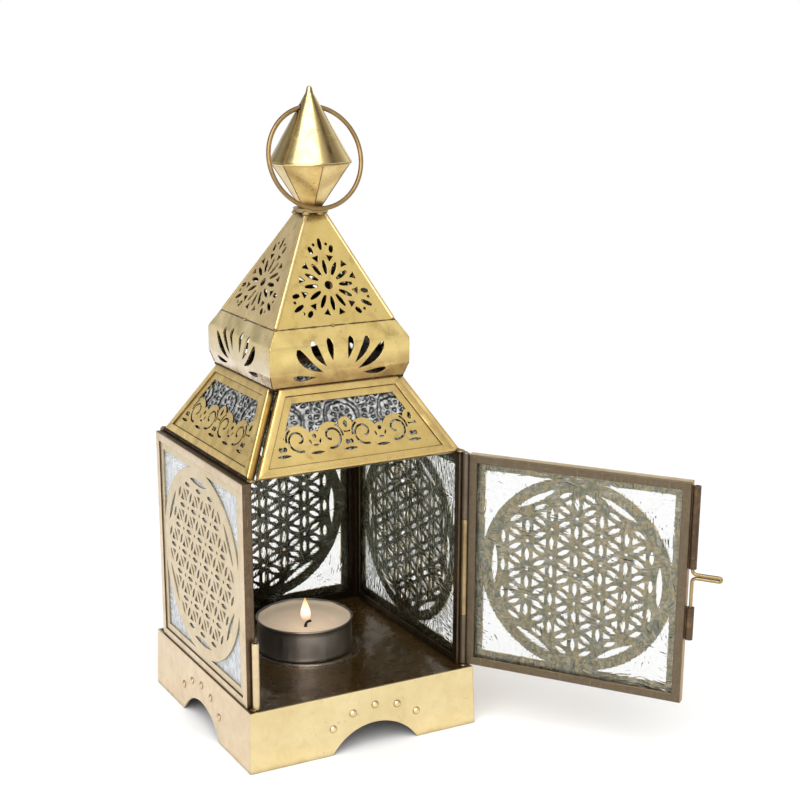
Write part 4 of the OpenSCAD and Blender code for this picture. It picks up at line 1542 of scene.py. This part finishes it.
@dataclass
class Candle:
    """The tealight: foil cup, wax, wick and flame."""

    paint: Paint
    centre: tuple[float, float] = (-1.6, 2.2)
    z: float = 23.2
    radius: float = 19.2
    height: float = 13.4
    wick_at: tuple[float, float] = (-2.8, -6.9)
    flame_foot: float = 13.9
    flame_tall: float = 9.6
    flame_half: float = 2.2

    def place(self) -> Matrix:
        """Returns the shift from the cup's own axis to the lantern."""
        return Matrix.Translation((*self.centre, self.z))

    def dent(self, turn: float) -> float:
        """Returns how far the rim is pressed in at a turn about the cup."""
        return max(0.0, ripple(1.6 * math.cos(turn), 1.6 * math.sin(turn), 8.0)) ** 1.5

    def cup(self) -> Solid:
        """Builds the foil cup with its rolled rim and fluted wall.

        Returns:
            The cup about its own axis.
        """
        r, h = self.radius, self.height
        profile: list[Point2] = [(0, 0.12), (r - 3, 0.12), (r - 2.6, 0)]
        profile += arc((r - 1.3, 0.9), 0.9, -90, 0)
        profile += [(r - 0.42, 2 + k * (h - 3.6) / 8) for k in range(9)]
        profile += arc((r - 0.36, h - 0.36), 0.36, -40, 200, 8)
        profile += [(r - 0.74, h - 1.2), (r - 0.78, 6), (r - 0.8, 1.2), (0, 1.0)]
        solid = spun(profile, 180)
        for p in solid.points:
            radius = math.hypot(p.x, p.y)
            if radius > 1 and p.z > 0.5:
                turn = math.atan2(p.y, p.x)
                high = min(1.0, p.z / h)
                flute = 0.012 * math.cos(45 * turn) if p.z < h - 0.4 else 0.0
                fold = max(0.0, ripple(3 * math.cos(turn), 3 * math.sin(turn), p.z / 6))
                draw_in(p, abs(flute) + 0.10 * fold + 0.9 * self.dent(turn) * high**4)
                p.z -= 0.5 * self.dent(turn) * high**6
        return solid

    def wax(self) -> Solid:
        """Builds the wax with its risen edge and melted pool.

        Returns:
            The wax about the cup's axis.
        """
        r = self.radius - 0.86
        level = 11.3
        profile: list[Point2] = [(0, 1.05), (r, 1.05), (r, 12.7), (r - 0.25, 12.7)]
        profile += [(r - 0.8, 12.45), (r - 1.4, 12.1), (r - 2.4, 11.95), (r - 4.5, 11.9)]
        profile += [(12.0, 11.85), (11.0, 11.8), (10.0, 11.7), (9.0, 11.5), (8.0, 11.35)]
        profile += [(6.0, level), (4.0, level), (2.0, level), (0, level)]
        solid = spun(profile, 150)
        pool = Vector((self.wick_at[0] * 0.6, self.wick_at[1] * 0.6))
        for p in solid.points:
            radius = math.hypot(p.x, p.y)
            if radius > r - 1.5:
                near = min(1.0, (radius - r + 1.5) / 0.8)
                draw_in(p, 0.9 * self.dent(math.atan2(p.y, p.x)) * near)
            if p.z > 11:
                p.z += 0.10 * ripple(p.x / 5, p.y / 5, 4)
                rise = 0.55 * max(0.0, ripple(p.x / 6, p.y / 6, 21))
                p.z += rise * max(0.0, radius / r - 0.86) / 0.14
                if (Vector((p.x, p.y)) - pool).length < 11.5 and radius < r - 2:
                    p.z = min(p.z, level + 0.12)
        return solid

    def wick(self) -> Solid:
        """Builds the bent wick.

        Returns:
            The wick.
        """
        start = Vector((*self.wick_at, 11.0))
        shares = [k / 12 for k in range(13)]
        bends = [(0.2 * s + 2.1 * s**3, -0.3 * s, 2.5 * math.sin(1.75 * s)) for s in shares]
        radii = [0.60 - 0.12 * s + 0.06 * math.sin(9 * s) for s in shares]
        return tube([start + Vector(bend) for bend in bends], radii, 12)

    def flame(self) -> Solid:
        """Builds the flame's drop-shaped body.

        Returns:
            The flame over its wick.
        """
        foot, tall = self.flame_foot, self.flame_tall
        profile: list[Point2] = [(0, foot)]
        for k in range(1, 25):
            s = k / 25
            radius = self.flame_half * math.sin(math.pi * s**0.60) ** 0.9 * (1 - 0.2 * s)
            profile.append((max(radius, 0.02), foot + tall * s))
        profile.append((0, foot + tall * 1.01))
        solid = spun(profile, 40)
        for p in solid.points:
            p.x += self.wick_at[0] + 0.2 - 0.03 * (p.z - foot)
            p.y += self.wick_at[1]
        return solid

    def build(self) -> None:
        """Builds the candle's pieces on its body."""
        place = self.place()
        x, y = self.centre[0] + self.wick_at[0], self.centre[1] + self.wick_at[1]
        glow = (x * MM, y * MM, (self.z + 12) * MM)
        wax = WaxFinish("candle_wax", (0.86, 0.70, 0.51), (1.0, 0.76, 0.54), glow).make()
        foot = self.z + self.flame_foot
        flame = FlameFinish("flame", foot, foot + self.flame_tall).make()
        foil, charred = self.paint.foil, self.paint.wick
        body = Body.CANDLE
        self.cup().moved(place).piece(
            "tealight_foil_cup", body, foil, "tealight_metal", ["tealight_cup"], sharp=50
        )
        self.wax().moved(place).piece(
            "tealight_poured_wax", body, wax, "wax", ["tealight_wax"], sharp=60
        )
        self.wick().moved(place).piece(
            "tealight_bent_wick", body, charred, "wick", ["tealight_wick"], sharp=60
        )
        self.flame().moved(place).piece(
            "tealight_flame", body, flame, "wax", sharp=80, shadow=False
        )


@dataclass
class Solder:
    """Beads, seams and ridges of solder where plates and tubes meet."""

    paint: Paint
    body_half: float = 42.2
    body_foot: float = 23.4
    body_top: float = 108.2
    shoulder_seam: Point2 = (42.55, 108.75)
    collar_seam: Point2 = (26.3, 136.45)
    roof_foot: float = 24.4
    roof_z: float = 157.3
    roof_h: float = 38.3
    roof_top: float = 4.2
    neck_z: float = 195.5
    lean: float = 2.1
    collar_edge: tuple[Point2, ...] = (
        (26.62, 137.0),
        (28.05, 141.4),
        (28.05, 151.0),
        (24.5, 157.1),
    )
    clear_of_door: Point2 = (109.15, 0.62)
    other_corners: Point2 = (108.5, 1.1)
    roof_shifts: tuple[tuple[Side, float], ...] = (
        (Side.FRONT, -1.2),
        (Side.LEFT, -1.5),
        (Side.BACK, 1.0),
        (Side.RIGHT, 0.6),
    )

    def bead(self, at: Sequence[float], size: Sequence[float], seed: float) -> Solid:
        """Builds one uneven bead.

        Args:
            at: Its centre.
            size: Its reach along X, Y and Z.
            seed: Where its unevenness starts.

        Returns:
            The solid.
        """
        turns = [math.pi * k / 12 for k in range(1, 12)]
        solid = spun([(0, -1), *((math.sin(a), -math.cos(a)) for a in turns), (0, 1)], 20)
        for p in solid.points:
            swell = 1 + 0.22 * noise.noise(p * 1.7 + Vector((seed, seed, 0)))
            p.x, p.y, p.z = (v * reach * swell for v, reach in zip(p, size))
        return solid.moved(Matrix.Translation(at))

    def line(
        self,
        start: Sequence[float],
        end: Sequence[float],
        radius: float,
        seed: float,
        waver: float = 0.16,
    ) -> Solid:
        """Builds a line of solder.

        Args:
            start: Its first end.
            end: Its last end.
            radius: Its radius.
            seed: Where its unevenness starts.
            waver: How uneven it is, as a share of its radius.

        Returns:
            The solid.
        """
        first, last = Vector(start), Vector(end)
        steps = max(6, round((last - first).length / 1.5))
        return strand(
            first,
            last,
            steps,
            lambda k: radius * (1 + waver * ripple(k * 0.55, seed, 0)),
            sides=12,
        )

    def level(
        self, side: Side, place: Point2, radius: float, seed: float, waver: float = 0.16
    ) -> Solid:
        """Builds a level line of solder along a side, from corner to corner.

        Args:
            side: The side.
            place: The line's distance from the axis, and its height.
            radius: Its radius.
            seed: Where its unevenness starts.
            waver: How uneven it is, as a share of its radius.

        Returns:
            The solid.
        """
        reach, z = place
        start, end = (side.turn @ Vector((x, -reach, z)) for x in (-reach, reach))
        return self.line(start, end, radius, seed, waver)

    def seams(self) -> Solid:
        """Builds the near-black seams that close the gaps between the plates: solder coloured as
        painted shade of the gaps.

        Returns:
            The solid.
        """
        solid = Solid()
        for k, side in enumerate(Side):
            if side is not Side.FRONT:
                solid.join(self.level(side, self.shoulder_seam, 0.72, k))
            solid.join(self.level(side, self.collar_seam, 0.62, 5 + k))
        y = self.body_half + 0.7
        for x in (-y, y):
            solid.join(self.line((x, y, self.body_foot), (x, y, self.body_top), 0.95, 11 + x))
        return solid

    def joints(self) -> Solid:
        """Builds the brown joints at the roof's foot and the collar's corners.

        Returns:
            The solid.
        """
        solid = Solid()
        eaves = (self.roof_foot - 0.12, self.roof_z - 0.05)
        for k, side in enumerate(Side):
            solid.join(self.level(side, eaves, 0.30, 41 + k, 0.8))
            corner = [side.turn @ Vector((-r, -r, z)) for r, z in self.collar_edge]
            for n, (low, high) in enumerate(zip(corner, corner[1:])):
                solid.join(self.line(low, high, 0.22 - 0.05 * n, 51 + k + n, 0.5))
        return solid

    def ridges(self) -> Solid:
        """Builds the folded ridges along the roof's four edges.

        Returns:
            The solid.
        """
        solid = Solid()
        for k, (x, y) in enumerate(((-1, -1), (1, -1), (1, 1), (-1, 1))):
            inset = 0.60 if x < 0 and y < 0 else 0.80
            low, high = self.roof_foot - inset, self.roof_top - inset
            foot = (x * low, y * low, self.roof_z + 0.4)
            top = (self.lean + x * high, y * high, self.roof_z + self.roof_h - 0.2)
            solid.join(self.line(foot, top, 0.9, 30 + k, 0.015))
        return solid

    def beads(self) -> Solid:
        """Builds the beads at the corners, along the roof's foot and at the neck.

        Returns:
            The solid.
        """
        solid = Solid()
        seed = 0.0
        for x in (-1, 1):
            for y in (-1, 1):
                seed += 1.3
                top, thick = self.clear_of_door if y < 0 else self.other_corners
                for reach, z, wide, half, more in (
                    (42.4, top, 1.5, thick, 0),
                    (25.6, 136.9, 1.2, 0.8, 5),
                    (44.1, 23.6, 1.4, 0.5, 9),
                ):
                    at = (x * reach, y * reach, z)
                    solid.join(self.bead(at, (wide, wide, half), seed + more))
        for side, shift in self.roof_shifts:
            for along, size in ((shift, 0.75), (shift + 13.5, 0.4), (shift - 15.0, 0.35)):
                at = side.turn @ Vector((along, -self.roof_foot, self.roof_z + 0.1))
                solid.join(self.bead(at, (size, size, 0.7 * size), 20 + along))
        for k in range(7):
            turn = 2 * math.pi * k / 7 + 0.4
            reach = 5.6 + 0.5 * math.sin(5 * k)
            at = (self.lean + reach * math.cos(turn), reach * math.sin(turn), self.neck_z)
            solid.join(self.bead(at, (1.5, 1.2, 0.8), 50 + k))
        return solid

    def build(self) -> None:
        """Builds the beads, seams and ridges on the lantern."""
        for name, solid, material in (
            ("solder_beads", self.beads(), self.paint.solder),
            ("solder_seams", self.seams(), self.paint.seam),
            ("solder_joints", self.joints(), self.paint.joint),
            ("roof_ridges", self.ridges(), self.paint.ridge),
        ):
            solid.piece(name, Body.LANTERN, material, "brass")


@dataclass
class Finial:
    """The folds of the cup and the blunt point of the cone."""

    paint: Paint
    lean: float = 2.1
    cup_z: float = 197.1
    cup_h: float = 15.8
    cup_r: float = 14.6
    cup_foot_r: float = 3.9
    cup_turn: float = 23.0
    tip_z: float = 240.52
    tip_r: float = 1.3

    def folds(self) -> Solid:
        """Builds the dark folds between the cup's six faces.

        Returns:
            The solid.
        """
        solid = Solid()
        ends = ((self.cup_foot_r, self.cup_z), (self.cup_r, self.cup_z + self.cup_h))
        for k in range(6):
            a = math.radians(self.cup_turn + 60 * k)
            foot, rim = (
                Vector((self.lean + r * math.cos(a), r * math.sin(a), z)) for r, z in ends
            )
            solid.join(
                strand(foot, rim, 12, lambda i: 0.14 + 0.05 * ripple(0.7 * i, k, 2), sides=10)
            )
        return solid

    def tip(self) -> Solid:
        """Builds the blunt cap where the cone's sheet is closed.

        Returns:
            The solid.
        """
        r, z = self.tip_r, self.tip_z
        section = ((0, 0), (0.36, 0.08), (0.62, 0.3), (0.76, 0.7), (0.86, 1.3))
        section += ((1.0, 1.95), (1.17, 2.65), (0, 2.7))
        profile = [(share * r, z - down) for share, down in section]
        return spun(profile, 40).moved(Matrix.Translation((self.lean, 0, 0)))

    def build(self) -> None:
        """Builds the folds and the point."""
        self.folds().piece("cup_folds", Body.LANTERN, self.paint.joint, "brass")
        self.tip().piece("cone_tip", Body.LANTERN, self.paint.cone, "brass")


@dataclass
class StudShadeAndPolishRims:
    """Dark rims round the plinth's studs: painted shade in the crease, and old polishing paste."""

    paint: Paint
    foot: float = 47.5
    top: float = 46.8
    height: float = 23.4
    arch_w: float = 35.8
    arch_h: float = 9.7
    front_set: float = 4.0
    stud_r: float = 1.4
    stud_gap: float = 6.9
    stud_step: float = 19.3
    wire: float = 0.13

    def rim(self, x: float, y: float) -> Solid:
        """Returns one rim round a place on a side."""
        ring = spun(arc((self.stud_r, 0.02), self.wire, 0, 324, 9), 28, closed=True)
        return ring.moved(Matrix.Translation((x, y, 0)))

    def build(self) -> None:
        """Builds the rims of all four sides."""
        solid = Solid()
        arch_r = (self.arch_w**2 / 4 + self.arch_h**2) / (2 * self.arch_h)
        reach = arch_r + self.stud_gap
        for side in Side:
            place = side_matrix(side, self.foot, self.top, 0, self.height)
            shift = self.front_set if side is Side.FRONT else 0.0
            for k in range(-2, 3):
                turn = math.radians(k * self.stud_step)
                x = shift - reach * math.sin(turn)
                y = self.arch_h - arch_r + reach * math.cos(turn)
                solid.join(self.rim(x, y).moved(place))
        solid.piece("stud_shade_and_polish_rims", Body.LANTERN, self.paint.knuckle, "brass")


@dataclass
class Metalwork:
    """Plates and fittings that keep the frame's own shapes."""

    paint: Paint

    def build(self) -> None:
        """Dresses the plinth, roof, finial, hinge and latch."""
        p = self.paint
        for side in Side:
            dress(f"base_{side.label}", p.base[side])
            dress(f"collar_{side.label}", p.collar[side])
            dress(f"roof_{side.label}", p.roof[side])
        worn = {
            "floor_plate": p.floor,
            "seat_ring": p.seat,
            "catch_tube": p.bright,
            "hinge_knuckle_middle": p.knuckle,
            "hinge_pin": p.bright,
            "latch_bolt": p.bolt,
            "hinge_knuckle_upper": p.taupe,
            "hinge_knuckle_lower": p.taupe,
            "latch_tube_upper": p.tube,
            "latch_tube_lower": p.tube,
            "finial_neck": p.neck,
            "finial_cup": p.cup,
            "finial_cone": p.cone,
            "hanging_ring": p.ring,
        }
        for node, material in worn.items():
            dress(node, material)


WHITE = (1.0, 1.0, 1.0)


@dataclass
class Studio:
    """The floor, the surroundings, the lamp and the camera.

    A sky is heights and how bright it is there. A flag is a dark strip in the
    sky: its azimuth, half its width and its darkness.
    """

    aim: tuple[float, float, float] = (27.804, 3.583, 92.342)
    azimuth: float = -27.818
    elevation: float = 16.026
    distance: float = 623.967
    roll: float = -0.071
    focal_px: float = 1577.3
    axis_px: Point2 = (368.085, 469.08)
    image_px: int = 800
    floor_radius: float = 900.0
    bright_azimuth: float = 27.8
    bright_sky: tuple[Point2, ...] = (
        (0.12, 1.0),
        (0.4, 0.85),
        (0.56, 0.86),
        (0.66, 1.0),
        (0.83, 1.1),
        (0.94, 0.8),
    )
    dim_sky: tuple[Point2, ...] = (
        (0.12, 1.0),
        (0.21, 0.92),
        (0.26, 0.80),
        (0.31, 0.5),
        (0.5, 0.6),
        (0.94, 0.4),
    )
    flags: tuple[tuple[float, float, float], ...] = ((60.0, 0.16, 0.9), (-120.0, 0.4, 0.8))
    soft_level: float = 0.86
    sensor: float = 36.0
    lamp_at: tuple[float, float, float] = (-510, -715, 928)
    lamp_aim: tuple[float, float, float] = (0, 0, 110)
    lamp_side: float = 1350.0
    lamp_watts: float = 14.0

    def camera(self) -> None:
        """Sets the camera where the photograph was taken from."""
        a, e = math.radians(self.azimuth), math.radians(self.elevation)
        back = Vector((math.sin(a) * math.cos(e), -math.cos(a) * math.cos(e), math.sin(e)))
        spot = Vector(self.aim) + back * self.distance
        right = (-back).cross(Vector((0, 0, 1))).normalized()
        up = right.cross(-back)
        turn = math.radians(self.roll)
        x = right * math.cos(turn) + up * math.sin(turn)
        y = up * math.cos(turn) - right * math.sin(turn)
        lens = bpy.data.cameras.new("photo_camera")
        lens.sensor_width = self.sensor
        lens.lens = self.focal_px * self.sensor / self.image_px
        lens.shift_x = (self.image_px / 2 - self.axis_px[0]) / self.image_px
        lens.shift_y = (self.axis_px[1] - self.image_px / 2) / self.image_px
        lens.clip_start = 0.01
        made = in_scene("photo_camera", lens)
        turned = Matrix((x, y, back)).transposed().to_4x4()
        made.matrix_world = Matrix.Translation(spot * MM) @ turned
        bpy.context.scene.camera = made

    def floor(self) -> None:
        """Lays a pale floor that thins out into the background."""
        solid = spun([(0, 0), (60, 0), (200, 0), (self.floor_radius, 0)], 64)
        s = Sheet("studio_floor")
        own = s.where.outputs["Object"]
        away = s.add("ShaderNodeVectorMath", {0: own}, operation="LENGTH").outputs["Value"]
        through = s.add("ShaderNodeLightPath").outputs["Is Transmission Ray"]
        faint = s.maths("MULTIPLY", through, 0.85)
        thin = s.maths("MAXIMUM", s.remap(away, 0.28, 0.75, 0, 1), faint)
        colour = s.mix(s.cloud(40, 2), rgba((0.93, 0.93, 0.93)), rgba((0.95, 0.95, 0.95)))
        pale = s.add("ShaderNodeBsdfDiffuse", {"Color": colour}).outputs[0]
        bright = {"Color": rgba(WHITE), "Strength": 1.0}
        glow = s.add("ShaderNodeEmission", bright).outputs[0]
        mesh = bpy.data.meshes.new("studio_floor")
        mesh.from_pydata([tuple(p * MM) for p in solid.points], [], solid.faces)
        mesh.materials.append(s.finish(s.blend(thin, pale, glow)))
        made = in_scene("studio_floor", mesh)
        made.location.z = -0.2 * MM

    def sky(self, s: Sheet, height: Socket, levels: Sequence[Point2]) -> Socket:
        """Builds one sky that changes with height.

        Args:
            s: The world under construction.
            height: The height of the direction looked in, from nought to one.
            levels: Heights and how bright the sky is there.

        Returns:
            The sky's colour.
        """
        stops = [(0.0, 1.0), *levels, (1.0, levels[-1][1])]
        return s.ramp(height, [(at, (value, value, value)) for at, value in stops])

    def surroundings(self) -> None:
        """Makes the white background and the studio that the metal mirrors."""
        world = bpy.data.worlds.new("studio")
        world.use_nodes = True
        s = Sheet.of(world.node_tree, "ShaderNodeOutputWorld")
        way = s.where.outputs["Generated"]
        height = s.height(way)
        lit_side = s.remap(s.toward(way, self.bright_azimuth), -0.4, 0.3, 0, 1)
        dim, bright = (self.sky(s, height, levels) for levels in (self.dim_sky, self.bright_sky))
        sky = s.mix(lit_side, dim, bright)
        for azimuth, half, share in self.flags:
            aside = s.maths("ABSOLUTE", s.toward(way, azimuth + 90))
            narrow = s.remap(aside, half * 0.3, half, 1, 0)
            band = s.maths("MULTIPLY", narrow, s.remap(height, 0.15, 0.35, 0, 1))
            ahead = s.remap(s.toward(way, azimuth), 0.1, 0.2, 0, share)
            sky = s.mix(s.maths("MULTIPLY", band, ahead), sky, rgba((0.05, 0.05, 0.05)))
        path = s.add("ShaderNodeLightPath").outputs
        plain, mirrored, seen = (
            s.add("ShaderNodeBackground", {"Color": colour, "Strength": level}).outputs[0]
            for colour, level in ((rgba(WHITE), self.soft_level), (sky, 1.0), (rgba(WHITE), 1.0))
        )
        lit = s.blend(path["Is Glossy Ray"], plain, mirrored)
        either = s.maths("MAXIMUM", path["Is Camera Ray"], path["Is Transmission Ray"])
        s.finish(s.blend(either, lit, seen))
        bpy.context.scene.world = world

    def lamp(self) -> None:
        """Hangs the soft square lamp that faces the lantern."""
        data = bpy.data.lights.new("key_lamp", "AREA")
        data.size = self.lamp_side * MM
        data.energy = self.lamp_watts
        data.color = WHITE
        spot = Vector(self.lamp_at)
        turned = (Vector(self.lamp_aim) - spot).to_track_quat("-Z", "Y").to_matrix().to_4x4()
        in_scene("key_lamp", data).matrix_world = Matrix.Translation(spot * MM) @ turned

    def build(self) -> None:
        """Sets the whole studio."""
        bpy.context.scene.view_settings.view_transform = "Standard"
        self.camera()
        self.floor()
        self.surroundings()
        self.lamp()


def main() -> None:
    """Builds the studio and every piece of the lantern."""
    logging.basicConfig(level=logging.INFO, format="%(name)s %(message)s")
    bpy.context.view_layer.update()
    Studio().build()
    paint = Paint()
    Metalwork(paint).build()
    Panels(paint).build()
    Shoulder(paint).build()
    Candle(paint).build()
    Solder(paint).build()
    Finial(paint).build()
    StudShadeAndPolishRims(paint).build()


if __name__ == "__main__":
    main()
